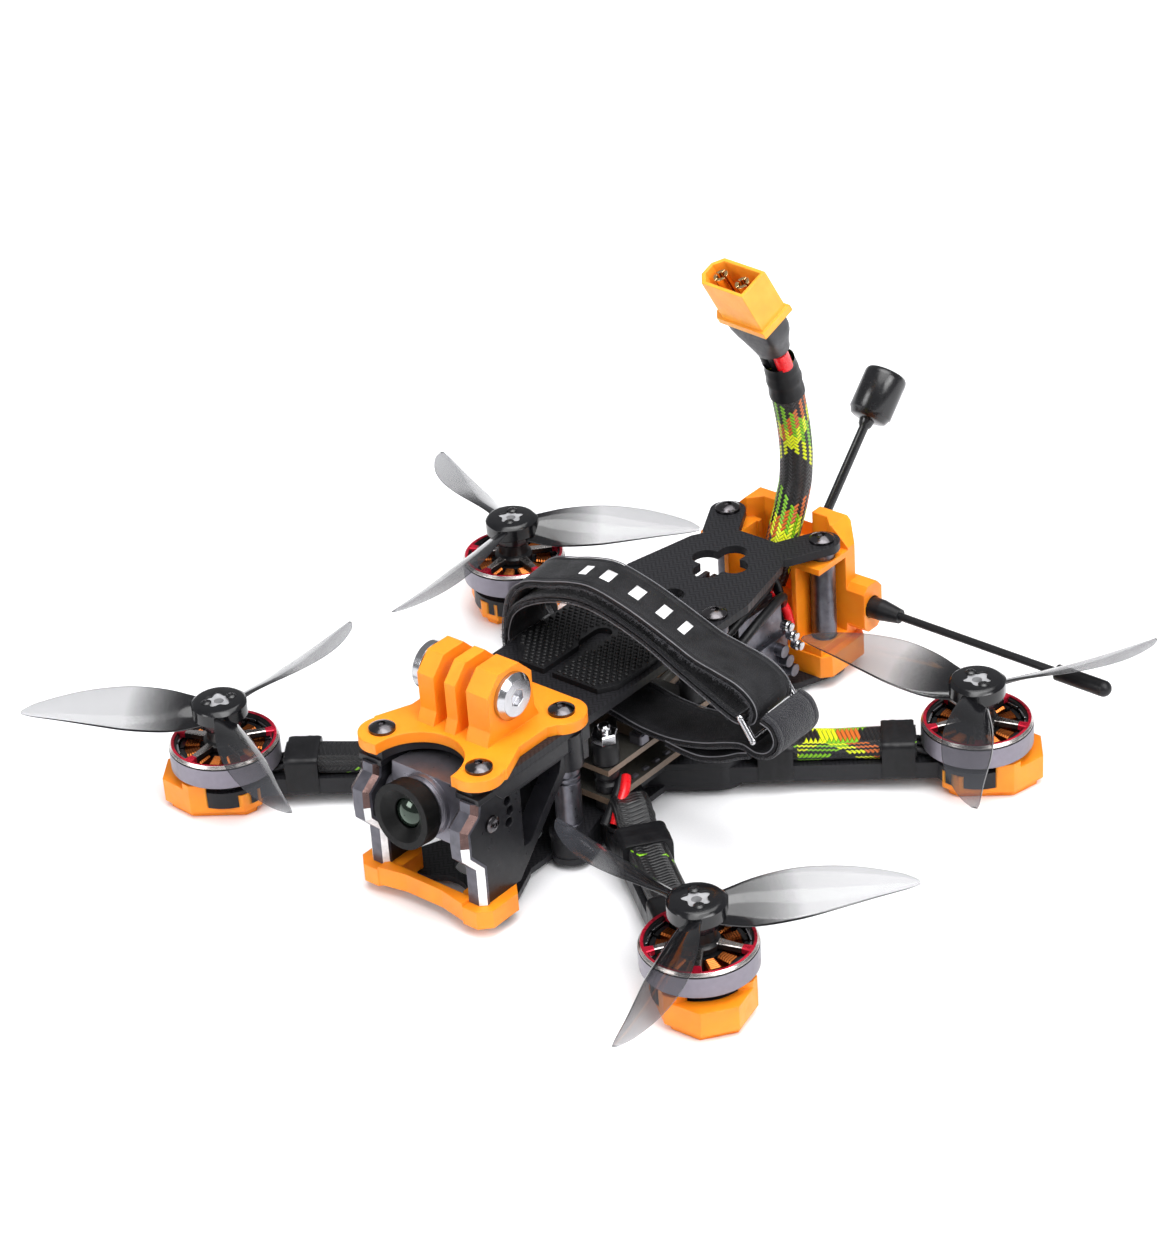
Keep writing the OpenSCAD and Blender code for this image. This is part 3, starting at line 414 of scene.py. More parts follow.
def make_materials():
    made = {
        "carbon_plate": carbon_plate(),
        "orange_tpu": orange_tpu(),
        "chrome_steel": turned_metal("chrome_steel", (0.5, 0.5, 0.52), 0.16, 0.25),
        "lens_glass": painted_metal("lens_glass", (0.001, 0.003, 0.002), 0.04, 0, 0.05, 0.6, Coat_Weight=0.5,
                                    Coat_Roughness=0.02, Coat_Tint=(0.5, 1, 0.6, 1)),
        "circuit_board": circuit_board(),
        "copper_windings": turned_metal("copper_windings", (0.45, 0.13, 0.03), 0.3, 0),
        "smoke_plastic": smoke_plastic(),
        "braided_sleeve": braided_sleeve("braided_sleeve", (5, 12), (5, 9)),
        "black_braid": braided_sleeve("black_braid", (0, 1), (0, 0)),
        "amber_plastic": amber_plastic(),
        "gold_contact": turned_metal("gold_contact", (0.9, 0.62, 0.28), 0.18),
        "strap_leather": leather(),
        "strap_lining": fuzz(),
        "silver_edge": turned_metal("silver_edge", (0.6, 0.56, 0.54), 0.25),
    }
    paints = {
        "battery_rubber": ((0.007, 0.007, 0.008), 0.45, 0, 0.08),
        "black_aluminium": ((0.008, 0.008, 0.01), 0.34, 0, 0.3),
        "gunmetal": ((0.13, 0.13, 0.15), 0.34, 0.9, 0.2),
        "camera_metal": ((0.17, 0.165, 0.19), 0.34, 0.8, 0.3, 0.04),
        "black_plastic": ((0.007, 0.007, 0.008), 0.4, 0, 0.3),
        "black_steel": ((0.09, 0.085, 0.09), 0.18, 1.0, 0.15),
        "lens_black": ((0.003, 0.003, 0.003), 0.45, 0, 0.2),
        "motor_black": ((0.008, 0.008, 0.009), 0.36, 0, 0.2),
        "bell_silver": ((0.2, 0.185, 0.22), 0.36, 0.6, 0.12, 0.06),
        "strap_print": ((0.75, 0.75, 0.76), 0.55, 0, 0),
        "strap_edge": ((0.11, 0.11, 0.12), 0.6, 0, 0),
        "strap_fibre": ((0.035, 0.035, 0.04), 0.8, 0, 0),
        "gloss_black": ((0.006, 0.006, 0.007), 0.24, 0, 0.2),
        "prop_hub": ((0.005, 0.005, 0.006), 0.16, 0, 0.2),
        "hub_recess": ((0.3, 0.3, 0.31), 0.5, 0, 0.1),
        "red_anodised": ((0.6, 0.012, 0.04), 0.3, 0.6, 0.1),
        "red_wire": ((0.72, 0.01, 0.015), 0.3, 0, 0),
        "shrink_grey": ((0.024, 0.024, 0.028), 0.4, 0, 0),
        "heat_shrink": ((0.006, 0.006, 0.007), 0.4, 0, 0),
        # Painted highlight for the lower chamfers of the side plates.
        "painted_chamfer_highlight_white": ((0.85, 0.85, 0.85), 0.4, 0, 0.1),
        "satin_grey": ((0.085, 0.083, 0.1), 0.36, 0.5, 0.1),
        # Painted highlight for the upper chamfers of the side plates.
        "painted_chamfer_highlight_bronze": ((0.085, 0.05, 0.045), 0.3, 0.8, 0.1),
    }
    specular = {"battery_rubber": 0.3, "black_aluminium": 0.35, "black_plastic": 0.25,
                "lens_black": 0.15, "motor_black": 0.35, "prop_hub": 0.4, "heat_shrink": 0.25}
    for name, values in paints.items():
        extra = {"Specular_IOR_Level": specular[name]} if name in specular else {}
        made[name] = painted_metal(name, *values, **extra)
    return made


def joint_at(name):
    """A joint's place in millimetres."""
    return Vector(next(j for j in frame["joints"] if j["name"] == name)["pos_m"]) / MM


def record_slots():
    """CAD node name to the record's material slot."""
    return {row["node"]: row["material_slot"] for row in frame["record"]["subparts"]}


# ---------- mesh helpers ----------

def smooth_path(points, steps):
    """Catmull-Rom curve through the points, with steps spans between neighbours."""
    rows = [Vector(p) for p in points]
    made = []
    for i in range(len(rows) - 1):
        before, a = rows[max(i - 1, 0)], rows[i]
        b, after = rows[i + 1], rows[min(i + 2, len(rows) - 1)]
        for k in range(steps):
            t = k / steps
            made.append(0.5 * ((2 * a) + (b - before) * t + (2 * before - 5 * a + 4 * b - after) * t * t
                               + (3 * a - before - 3 * b + after) * t ** 3))
    return made + [rows[-1]]


def lengths(points):
    total = [0.0]
    for a, b in zip(points, points[1:]):
        total.append(total[-1] + (Vector(b) - Vector(a)).length)
    return total


def place_piece(name, mesh, body, origin=(0, 0, 0), sharp=35):
    """Links a mesh made in millimetres as a piece that rides on a CAD body."""
    mesh.transform(Matrix.Scale(MM, 4))
    mesh.shade_smooth()
    mesh.set_sharp_from_angle(angle=radians(sharp))
    piece = bpy.data.objects.new(name, mesh)
    piece.location = Vector(origin) * MM
    bpy.context.scene.collection.objects.link(piece)
    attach(piece, body)
    return piece


def skin(rings, materials, closed=True, caps=True, pick=None, loop=False):
    """Mesh over a list of rings. UV runs round each ring and, in millimetres, along them."""
    count = len(rings[0])
    middles = [sum((Vector(p) for p in ring), Vector()) / count for ring in rings]
    along = lengths(middles)
    bm = bmesh.new()
    uv = bm.loops.layers.uv.new("UVMap")
    verts = [[bm.verts.new(p) for p in ring] for ring in rings]
    spans = len(rings) if loop else len(rings) - 1
    for i in range(spans):
        j = (i + 1) % len(rings)
        for k in range(count if closed else count - 1):
            n = (k + 1) % count
            face = bm.faces.new((verts[i][k], verts[i][n], verts[j][n], verts[j][k]))
            face.material_index = pick(i, k) if pick else 0
            far = along[i + 1] if i + 1 < len(along) else along[i]
            corners = ((k, along[i]), (k + 1, along[i]), (k + 1, far), (k, far))
            for corner, (u, v) in zip(face.loops, corners):
                corner[uv].uv = (u / count, v)
    if caps and closed and not loop:
        for i in (0, -1):
            cap = bm.faces.new(verts[i])
            cap.material_index = pick(0 if i == 0 else spans - 1, 0) if pick else 0
    bmesh.ops.recalc_face_normals(bm, faces=bm.faces)
    mesh = bpy.data.meshes.new("skin")
    bm.to_mesh(mesh)
    bm.free()
    for material in materials:
        mesh.materials.append(MATERIALS[material])
    return mesh


def tube_rings(path, radius, sides=12, squash=1.0):
    """Rings round a path; radius is a number or a function of the share along the path."""
    path = [Vector(p) for p in path]
    rings = []
    side = None
    for i, here in enumerate(path):
        ahead = (path[min(i + 1, len(path) - 1)] - path[max(i - 1, 0)]).normalized()
        if side is None:
            side = ahead.orthogonal().normalized()
        side = (side - ahead * side.dot(ahead)).normalized()
        over = ahead.cross(side)
        r = radius(i / (len(path) - 1)) if callable(radius) else radius
        rings.append([here + side * r * cos(a) + over * r * squash * sin(a)
                      for a in (2 * pi * k / sides for k in range(sides))])
    return rings


def lathe(profile, steps=64):
    """Rings of a closed profile of (radius, height), turned about Z."""
    return [[(r * cos(a), r * sin(a), z) for r, z in profile]
            for a in (2 * pi * k / steps for k in range(steps))]


def join_meshes(parts, name):
    bm = bmesh.new()
    for part in parts:
        bm.from_mesh(part)
    mesh = bpy.data.meshes.new(name)
    bm.to_mesh(mesh)
    bm.free()
    for material in parts[0].materials:
        mesh.materials.append(material)
    return mesh


def rounded_block(low, high, material, edge=0.25):
    """Box with bevelled edges, from its lowest and highest corner."""
    bm = bmesh.new()
    bmesh.ops.create_cube(bm, size=1)
    size = [h - l for l, h in zip(low, high)]
    middle = [(h + l) / 2 for l, h in zip(low, high)]
    bmesh.ops.scale(bm, vec=size, verts=bm.verts)
    bmesh.ops.translate(bm, vec=middle, verts=bm.verts)
    bmesh.ops.bevel(bm, geom=bm.edges, offset=edge, segments=2, affect="EDGES")
    mesh = bpy.data.meshes.new("block")
    bm.to_mesh(mesh)
    bm.free()
    mesh.materials.append(MATERIALS[material])
    return mesh


# ---------- battery lead and its connector ----------

# The route from the CAD source, in metres
LEAD_ROUTE = [(0, 0.064, 0.020), (0, 0.0665, 0.0235), (0, 0.069, 0.028), (0, 0.0702, 0.0305),
              (0, 0.0715, 0.033), (0, 0.0728, 0.0355), (0, 0.074, 0.0385), (0, 0.075, 0.041),
              (0, 0.0756, 0.044), (0, 0.0759, 0.0495), (0, 0.0754, 0.055), (0, 0.0743, 0.061),
              (0, 0.073, 0.0665), (0.0001, 0.0717, 0.071), (0.0003, 0.0701, 0.075),
              (0.0004, 0.0683, 0.0785)]


def make_boot():
    """Shrink tube that closes from the connector's back down to the two wires."""
    turn = (Matrix.Rotation(radians(-11.5), 4, "Z") @ Matrix.Rotation(radians(-4), 4, "Y")
            @ Matrix.Rotation(radians(27), 4, "X"))
    place = Matrix.Translation(Vector(LEAD_ROUTE[-1]) / MM) @ turn
    rings = []
    for height, wide, deep, square in (
            (0.3, 4.3, 3.2, 2), (0.5, 4.7, 3.6, 2), (2.4, 5.4, 3.8, 2.2), (4.4, 6.3, 3.9, 2.8),
            (6, 7, 3.9, 4), (7.8, 7.3, 3.85, 6), (11, 7.35, 3.8, 8)):
        ring = []
        for k in range(48):
            c, d = cos(2 * pi * k / 48), sin(2 * pi * k / 48)
            x = wide * copysign(abs(c) ** (2 / square), c)
            y = deep * copysign(abs(d) ** (2 / square), d)
            ring.append(place @ Vector((x, y, height)))
        rings.append(ring)
    boot = place_piece("connector_shrink", skin(rings, ["shrink_grey"]), "root")
    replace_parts(boot, "connector_boot")
    return boot


def make_lead():
    """Two silicone wires in a braided sleeve, with shrink tube over the sleeve's end."""
    route = [Vector(p) / MM for p in LEAD_ROUTE]
    path = smooth_path(route, 4)
    radius = lambda s: 3.85 if s < 0.9 else 2.4
    inside_mouth = lambda i, k: int(i > 0.9 * len(path))
    braid = skin(tube_rings(path, radius, 32), ["braided_sleeve", "heat_shrink"], pick=inside_mouth)
    sleeve = place_piece("lead_sleeve", braid, "root")
    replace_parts(sleeve, "power_lead")

    start = next(i for i, p in enumerate(path) if p.z > 64)
    end = next(i for i, p in enumerate(path) if p.z > 75.6)
    wrinkle = lambda s: 4.15 - 0.45 * s * s + 0.1 * sin(19 * s) + 0.07 * sin(47 * s)
    shrink_mesh = skin(tube_rings(path[start:end], wrinkle, 24), ["heat_shrink"], caps=False)
    shrink = place_piece("lead_shrink", shrink_mesh, "root")

    for name, side in (("red_wire", 1), ("heat_shrink", -1)):
        strand = [p + Vector((2.1 * side, -0.8, 0)) for p in path[end - 2:]]
        core = skin(tube_rings(strand, 1.9, 16), [name])
        place_piece("lead_core_" + name, core, "root")
    ends = [make_boot(), *(NODES[n] for n in ("connector_housing", "connector_pins"))]


# ---------- strap ----------

def ribbon(near, far, steps, materials, thickness):
    """A band between two edge curves, its underside thickness below its upper side."""
    near, far = smooth_path(near, steps), smooth_path(far, steps)
    rings = []
    across = [0, 0.02, 0.05, 0.09, 0.11, 0.13, 0.3, 0.5, 0.7, 0.87, 0.89, 0.91, 0.95, 0.98, 1]
    crown = [-0.45, -0.12, 0, 0, -0.22, 0, 0, 0, 0, 0, -0.22, 0, 0, -0.12, -0.45]
    for i, (a, b) in enumerate(zip(near, far)):
        ahead = near[min(i + 1, len(near) - 1)] - near[max(i - 1, 0)]
        normal = ahead.cross(b - a).normalized()
        wave = 0.12 * sin(i * 0.9) + 0.08 * sin(i * 2.3)
        upper = [a.lerp(b, s) + normal * (c * 0.7 + wave * s * (1 - s)) for s, c in zip(across, crown)]
        lower = [a.lerp(b, s) - normal * (thickness + c * 0.5)
                 for s, c in zip(reversed(across), reversed(crown))]
        rings.append(upper + lower)
    return skin(rings, materials), near, far


def shifted(points, share):
    """The far edge of a band: the strap's width back, sliding aside and down where it is free."""
    low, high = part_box("battery_strap")
    width = (high.y - low.y) / MM
    return [(x - 3.4 * share(i / (len(points) - 1)), y + width, z - 1.7 * share(i / (len(points) - 1)))
            for i, (x, y, z) in enumerate(points)]


def make_strap():
    """Battery strap: leather outside, napped lining inside, wrapped through a steel ring."""
    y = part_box("battery_strap")[0].y / MM
    arch = lambda s: sin(pi * min(1, max(0, s))) ** 0.7
    outer = [(x, y, z) for x, z in (
        (-4, 29), (-13, 29.2), (-18, 30.6), (-18.8, 35), (-17.8, 42), (-15.6, 47.6), (-11, 51.4),
        (-4.5, 53.4), (1.6, 55.2), (8, 56), (16.6, 54.2), (24.2, 51.6), (30, 49.3), (35.3, 47.2),
        (41, 46), (46.5, 44.6), (50, 42.2), (51.2, 39.3), (50.2, 36.6), (47.8, 35.4))]
    inner = [(x, y, z) for x, z in (
        (47.6, 35.6), (45.6, 35.2), (42.8, 36), (37.5, 38.4), (30.1, 41.9), (22.7, 45.6), (14, 48.7),
        (5.2, 50.2), (-3.5, 48.6), (-10.8, 45.3), (-15, 41.6), (-16.8, 37), (-17, 34.6))]
    under = [(x, y, z) for x, z in (
        (-4, 28.4), (4, 27.6), (11.8, 26.4), (19.3, 25), (27.7, 25), (36, 26.8), (43, 29.4), (47, 30.4),
        (50.5, 29.6), (53.6, 30.7), (55.3, 33.6), (54.3, 36.4), (51.9, 37.4))]
    tail = [(x, y, z) for x, z in (
        (26, 23.8), (31, 23.2), (35.8, 23.4), (41, 25.2), (45.5, 27.6), (48, 28.6))]
    level = lambda s: 0.0
    bands = (("outer", outer, arch), ("inner", inner, arch), ("under", under, level), ("tail", tail, level))
    strap_pieces, lining_pieces, edges = [], [], []
    for name, points, slide in bands:
        far = shifted(points, slide)
        hide, near_line, far_line = ribbon(points, far, 5, ["strap_leather"], 0.9)
        strap_pieces.append(place_piece("strap_" + name, hide, "root"))
        lift = [Vector(p) for p in points]
        dip = []
        for i, p in enumerate(lift):
            ahead = lift[min(i + 1, len(lift) - 1)] - lift[max(i - 1, 0)]
            dip.append(p - ahead.cross(Vector((0, 1, 0))).normalized() * 0.95)
        back = shifted([tuple(p) for p in dip], slide)
        nap, nap_near, nap_far = ribbon(dip, back, 5, ["strap_lining"], 0.75)
        lining_pieces.append(place_piece("strap_lining_" + name, nap, "root"))
        for line in (near_line, far_line):
            edges.append(skin(tube_rings(line, 0.14, 6), ["strap_edge"]))
        if name in ("outer", "inner"):
            make_fuzz(name, nap_near, nap_far)
    edge_mesh = join_meshes(edges, "strap_edges")
    place_piece("strap_edges", edge_mesh, "root")
    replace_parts(strap_pieces[0], "battery_strap")
    make_print(outer, shifted(outer, arch))


def make_fuzz(name, near, far):
    """Loose fibres that stand out of the lining at both edges."""
    chance = random.Random(7)
    fibres = []
    for line, outward in ((near, -1), (far, 1)):
        for a, b in zip(line[8:], line[9:]):
            for _ in range(11):
                root = a.lerp(b, chance.random()) + Vector((0, 0.2 * outward, 0))
                reach = Vector((chance.uniform(-0.5, 0.5), outward * chance.uniform(0.2, 0.8),
                                chance.uniform(-0.7, 0.5)))
                curl = Vector((chance.uniform(-0.3, 0.3), 0, chance.uniform(-0.3, 0.3)))
                path = [root, root + reach * 0.6, root + reach + curl]
                fibres.append(skin(tube_rings(path, 0.04, 3), ["strap_fibre"]))
    place_piece("strap_fibres_" + name, join_meshes(fibres, "fibres"), "root")


def make_print(points, far):
    """A row of plain upright white blocks printed on the strap, in place of its lettering."""
    near, far = smooth_path(points, 12), smooth_path(far, 12)
    marks = []
    span, low, high = 4, 0.34, 0.66
    for first in range(96, 141, 11):
        rings = []
        for k in range(7):
            ring = []
            for j in range(5):
                s = low + (high - low) * j / 4
                i = first + span * k / 6
                at = int(i)
                a = near[at].lerp(near[at + 1], i - at)
                b = far[at].lerp(far[at + 1], i - at)
                normal = (near[at + 1] - near[at - 1]).cross(b - a).normalized()
                ring.append(a.lerp(b, s) + normal * 0.1)
            rings.append(ring)
        marks.append(skin(rings, ["strap_print"], closed=False))
    ink_thickness = 0.00012
    printed = place_piece("strap_print", join_meshes(marks, "print"), "root")
    thick = printed.modifiers.new("ink", "SOLIDIFY")
    thick.thickness = ink_thickness


# ---------- propellers ----------

# Radius, chord, pitch in degrees, sideways shift and thickness, as in the CAD source
BLADE = [(4, 7, 38, 0, 2.2), (8, 9, 36, 0.1, 1.8), (12, 10.6, 33, 0.5, 1.5), (17, 11.6, 29, 1.1, 1.3),
         (22, 11.8, 26, 1.6, 1.2), (27, 11, 23, 1.9, 1.1), (32, 9.6, 20.5, 1.9, 1), (36, 8, 18.5, 1.6, 0.9),
         (40, 6, 17, 1, 0.8), (43.3, 3.9, 16, 0.3, 0.7), (45.5, 1.4, 15, -0.5, 0.5)]
PROP_TURN = {"front_left": -71.7, "front_right": -147.2, "rear_left": -57.6, "rear_right": -86.2}


def blade_rings(hand, turn, lift):
    """Sections of one blade, finer than the CAD model's."""
    stations = smooth_path(BLADE, 4)
    rings = []
    around = 32
    spin = Matrix.Rotation(turn, 3, "Z")
    for r, chord, pitch, shift, thick in stations:
        c, s = cos(radians(pitch)), sin(radians(pitch))
        ring = []
        for k in range(around):
            a = 2 * pi * k / around
            u = -cos(a) / 2
            body = sin(a) * thick * 0.32
            h = body + 0.06 * chord * (1 - 4 * u * u)
            across = u * (chord - 0.1)
            ring.append(spin @ Vector((r, hand * (shift + across * c - h * s), across * s + h * c + lift)))
        rings.append(ring)
    return rings


def make_propeller(corner):
    sx, sy = CORNERS[corner]
    hand = sx * -sy
    axis = joint_at(f"rotor_{corner}_spin")
    centre = (axis.x, axis.y, 0)
    bell_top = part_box("prop_screws_" + corner)[0].z / MM
    hub_low, hub_top = bell_top, bell_top + 6.5
    turn = radians(PROP_TURN[corner])
    blades = [skin(blade_rings(hand, turn + k * 2 * pi / 3, hub_top - 3.6), ["smoke_plastic"])
              for k in range(3)]
    body = "rotor_" + corner
    wings = place_piece("prop_blades_" + corner, join_meshes(blades, "blades"), body,
                        centre, sharp=60)
    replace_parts(wings, "propeller_" + corner)

    steps = 90
    flower = lambda a: 2.7 + 0.5 * cos(5 * (a - turn))
    levels = [(1.55, hub_low), (4.3, hub_low), (4.6, hub_low + 0.4), (4.6, hub_top - 4.5),
              (5.6, hub_top - 4.2), (6.15, hub_top - 3.8), (6.2, hub_top - 0.9),
              (5.7, hub_top - 0.25), (5.1, hub_top), (None, hub_top), (None, hub_top - 0.45),
              (1.1, hub_top - 0.45), (1.1, hub_top - 2)]
    rings = []
    for r, z in levels:
        ring = []
        for k in range(steps):
            a = 2 * pi * k / steps
            lip = 0.35 * max(0, cos(3 * (a - turn) - hand * 0.5)) ** 2 if r and r > 5.5 else 0
            radius = (r or flower(a)) + (lip if z < hub_top - 0.5 else 0)
            ring.append((radius * cos(a), radius * sin(a), z))
        rings.append(ring)
    hub = skin(rings, ["prop_hub", "hub_recess"], caps=False, pick=lambda i, k: 1 if i >= 10 else 0)
    place_piece("prop_hub_" + corner, hub, body, centre)


# ---------- motors ----------

def make_motor(corner):
    sx = CORNERS[corner][0]
    axis = joint_at(f"rotor_{corner}_spin")
    centre = (axis.x, axis.y, 0)
    body = "rotor_" + corner
    low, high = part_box("bell_" + corner)
    rim_z = axis.z
    skirt_z = rim_z - 6
    r = (high.x - low.x) / 2 / MM

    profile = [(10.7, skirt_z), (r - 0.4, skirt_z), (r, skirt_z + 0.35), (r, rim_z - 1.05),
               (r - 0.25, rim_z - 1), (r - 0.25, rim_z - 0.75), (r - 0.05, rim_z - 0.7),
               (r - 0.2, rim_z - 0.45), (r - 0.45, rim_z - 0.2), (r - 0.55, rim_z - 0.02), (r - 0.7, rim_z),
               (r - 1.1, rim_z), (r - 1.25, rim_z - 0.15), (r - 1.35, rim_z - 0.5), (10.7, rim_z - 0.6)]
    finish = ["bell_silver", "silver_edge", "motor_black", "red_anodised"]
    kinds = [0, 0, 0, 2, 2, 2, 1, 1, 1, 3, 3, 3, 2, 2, 2]
    shell = skin(lathe(profile, 96), finish, loop=True, pick=lambda i, k: kinds[k])
    bell = place_piece("bell_shell_" + corner, shell, body, centre)
    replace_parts(bell, "bell_" + corner)

    spokes = []
    for i in range(5):
        a = radians(i * 72 + 18 * sx)
        turn = Matrix.Rotation(a, 3, "Z")
        rings = []
        for x, half, top in ((2.5, 1.3, 0.4), (4.5, 1.05, 0.35), (8.6, 0.8, 0.1), (9.4, 0.8, 0.05),
                             (11.6, 1.15, 0)):
            section = [(-half, -1.3), (half, -1.3), (half, -0.15), (half - 0.2, 0),
                       (-half + 0.2, 0), (-half, -0.15)]
            rings.append([turn @ Vector((x, y, rim_z + top + z)) for y, z in section])
        pick = lambda i, k: 2 if i == 3 else (1 if k in (2, 3, 4) else 0)
        spokes.append(skin(rings, ["motor_black", "silver_edge", "red_anodised"], pick=pick))
    lug = [(1.5, rim_z - 1.3), (4.4, rim_z - 1.3), (4.6, rim_z), (4.2, rim_z + 0.5), (3.7, rim_z + 0.7),
           (3.6, rim_z + 3.3), (3.3, rim_z + 3.5), (1.5, rim_z + 3.5)]
    boss = skin(lathe(lug, 48), ["motor_black", "silver_edge", "red_anodised"], loop=True)
    place_piece("bell_spokes_" + corner, join_meshes([boss, *spokes], "spokes"), body, centre)

    shaft = [(0, rim_z - 8.8), (1.45, rim_z - 8.8), (1.5, rim_z - 8.6), (1.5, rim_z + 7.6),
             (1.3, rim_z + 7.8), (0, rim_z + 7.8)]
    place_piece("motor_shaft_" + corner, skin(lathe(shaft, 32), ["chrome_steel"], loop=True), body,
                centre)

    magnets = []
    for i in range(14):
        a = radians(i * 360 / 14)
        rings = [[(q * cos(a + d), q * sin(a + d), z) for q, d in (
            (10.35, -0.19), (10.35, 0.19), (10.9, 0.19), (10.9, -0.19))] for z in (skirt_z + 0.3, rim_z - 1)]
        magnets.append(skin(rings, ["chrome_steel"]))
    place_piece("magnets_" + corner, join_meshes(magnets, "magnets"), body, centre)


def make_stator(corner):
    """Twelve teeth, each wound with enamelled copper wire."""
    axis = joint_at(f"rotor_{corner}_spin")
    centre = (axis.x, axis.y, 0)
    low, high = (c.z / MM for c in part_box("stator_" + corner))
    teeth = 12
    outline = []
    for i in range(teeth):
        a = 2 * pi * i / teeth
        for r, d in ((4.9, -15), (4.9, -9.5), (8.9, -5.4), (9.2, -12.5), (10, -13), (10.05, -6), (10.05, 0),
                     (10.05, 6), (10, 13), (9.2, 12.5), (8.9, 5.4), (4.9, 9.5)):
            b = a + radians(d)
            outline.append((r * cos(b), r * sin(b)))
    rings = [[(x, y, z) for x, y in outline] for z in (low + 0.5, low + 1.5, high - 1.5, high - 0.5)]
    teeth_mesh = skin(rings, ["motor_black"])
    core = place_piece("stator_core_" + corner, teeth_mesh, "root", centre)
    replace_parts(core, "stator_" + corner)
    loops = []
    middle = (low + high) / 2
    for i in range(teeth):
        turn = Matrix.Rotation(2 * pi * i / teeth, 3, "Z")
        for k in range(6):
            r = 5.7 + 0.58 * k
            wide, tall = 1.0 + 0.06 * k, (high - low) / 2 - 0.35
            corners = [(wide * sy, tall * sz) for sy, sz in ((1, 0.8), (0.7, 1), (-0.7, 1), (-1, 0.8),
                                                             (-1, -0.8), (-0.7, -1), (0.7, -1), (1, -0.8))]
            rings = []
            for j, (y, z) in enumerate(corners):
                out = Vector((0, y, z)).normalized()
                rings.append([turn @ (Vector((r, y, z + middle)) + out * 0.3 * cos(b)
                                      + Vector((0.3 * sin(b), 0, 0)))
                              for b in (2 * pi * n / 6 for n in range(6))])
            loops.append(skin(rings, ["copper_windings"], loop=True))
    place_piece("windings_" + corner, join_meshes(loops, "windings"), "root", centre)


# ---------- wires on the arms ----------

def rounded_ring(half_y, low, high, corner, per_corner=4):
    ring = []
    for cy, cz, start in ((half_y - corner, high - corner, 0), (-half_y + corner, high - corner, 90),
                          (-half_y + corner, low + corner, 180), (half_y - corner, low + corner, 270)):
        for k in range(per_corner + 1):
            a = radians(start + 90 * k / per_corner)
            ring.append((cy + corner * cos(a), cz + corner * sin(a)))
    return ring


def make_arm_wires(corner):
    """Braided sleeve along one arm, held by two bands of shrink tube, with the motor's three wires."""
    sx, sy = CORNERS[corner]
    arm_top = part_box("arm_" + corner)[1].z / MM
    arm_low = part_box("arm_" + corner)[0].z / MM
    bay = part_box("mid_plate")[1].z / MM
    axis = joint_at(f"rotor_{corner}_spin")
    turn = Matrix.Rotation(atan2(axis.y, axis.x), 3, "Z")
    rings = []
    for r, low, high in ((27, bay + 2.6, bay + 6.2), (30.5, bay + 2.4, bay + 6.2),
                         (33, arm_top + 2.2, arm_top + 6.2), (35, arm_top + 0.5, arm_top + 4.9),
                         (37, arm_top + 0.1, arm_top + 4.7),
                         (44, arm_top + 0.1, arm_top + 4.6), (53, arm_top + 0.05, arm_top + 4.3),
                         (62, arm_top + 0.1, arm_top + 4.6), (70.2, arm_top + 0.1, arm_top + 4.7)):
        rings.append([turn @ Vector((r, y, z)) for y, z in rounded_ring(4.25, low, high, 1.5)])
    dense = []
    for a, b in zip(rings, rings[1:]):
        dense += [[p.lerp(q, k / 4) for p, q in zip(a, b)] for k in range(4)]
    bright = 1 if corner == "rear_left" else 0
    sleeve_mesh = skin(dense + [rings[-1]], ["black_braid", "braided_sleeve"],
                       pick=lambda i, k: bright if 20 <= i < 28 else 0)
    sleeve = place_piece("arm_sleeve_" + corner, sleeve_mesh, "root")
    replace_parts(sleeve, "motor_wires")
    bands = []
    for first, last in ((35.2, 43), (62.5, 69.8)):
        rings = []
        count = 14
        for k in range(count + 1):
            r = first + (last - first) * k / count
            swell = 0.12 * noise.noise((r * 0.9, sx * 3, sy * 7)) + (0.18 if k in (0, count) else 0.3)
            rings.append([turn @ Vector((r, y + 0.1 * noise.noise((r, y, z)), z)) for y, z in rounded_ring(
                5.4 + swell, arm_low - swell, arm_top + 4.8 + swell, 1.3)])
        bands.append(skin(rings, ["heat_shrink"]))
    cover = place_piece("arm_bands_" + corner, join_meshes(bands, "bands"), "root")
    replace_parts(cover, "wire_bands")
    tails = []
    for k in (-1, 0, 1):
        path = smooth_path([(68.5, k * 2.3, arm_top + 2), (70.8, k * 2.4, arm_top + 1.6),
                            (72.6, k * 2.6, arm_top + 1.2), (74.6, k * 2.8, arm_top + 2)], 5)
        tails.append(skin(tube_rings([turn @ p for p in path], 0.75, 10), ["heat_shrink"]))
    place_piece("motor_leads_" + corner, join_meshes(tails, "tails"), "root")


# ---------- nose, electronics and small parts ----------

def make_side_facings():
    """Satin grey front edges of the side plates, with painted highlights on the chamfers: bronze on the upper
    part, white on the lower.
    """
    for side in (1, -1):
        low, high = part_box("side_plate_left")
        bottom, top = low.z / MM, high.z / MM
        path = [(-57, bottom + 0.1), (-57, 15), (-61, 19.5), (-61, 22), (-61, 25.5),
                (-57.5, 28), (-57, top - 1.3)]
        section = [(11.2, -0.6), (11.2, 0.2), (12.2, 1.3), (15, 1.3), (16.35, 0.1), (16.35, -0.6)]
        rings = []
        for i, (y, z) in enumerate(path):
            a, b = path[max(i - 1, 0)], path[min(i + 1, len(path) - 1)]
            d = Vector((b[0] - a[0], b[1] - a[1])).normalized()
            rings.append([(side * x, y - d.y * n, z + d.x * n) for x, n in section])
        # The chamfer faces carry the painted highlights, white up to z 22 and bronze above.
        pick = lambda i, k: (2 if i < 3 else 1) if k in (1, 3) else 0
        mesh = skin(rings, ["satin_grey", "painted_chamfer_highlight_bronze", "painted_chamfer_highlight_white"], pick=pick)
        name = "side_facing_" + ("left" if side > 0 else "right")
        place_piece(name, mesh, "root", sharp=20)


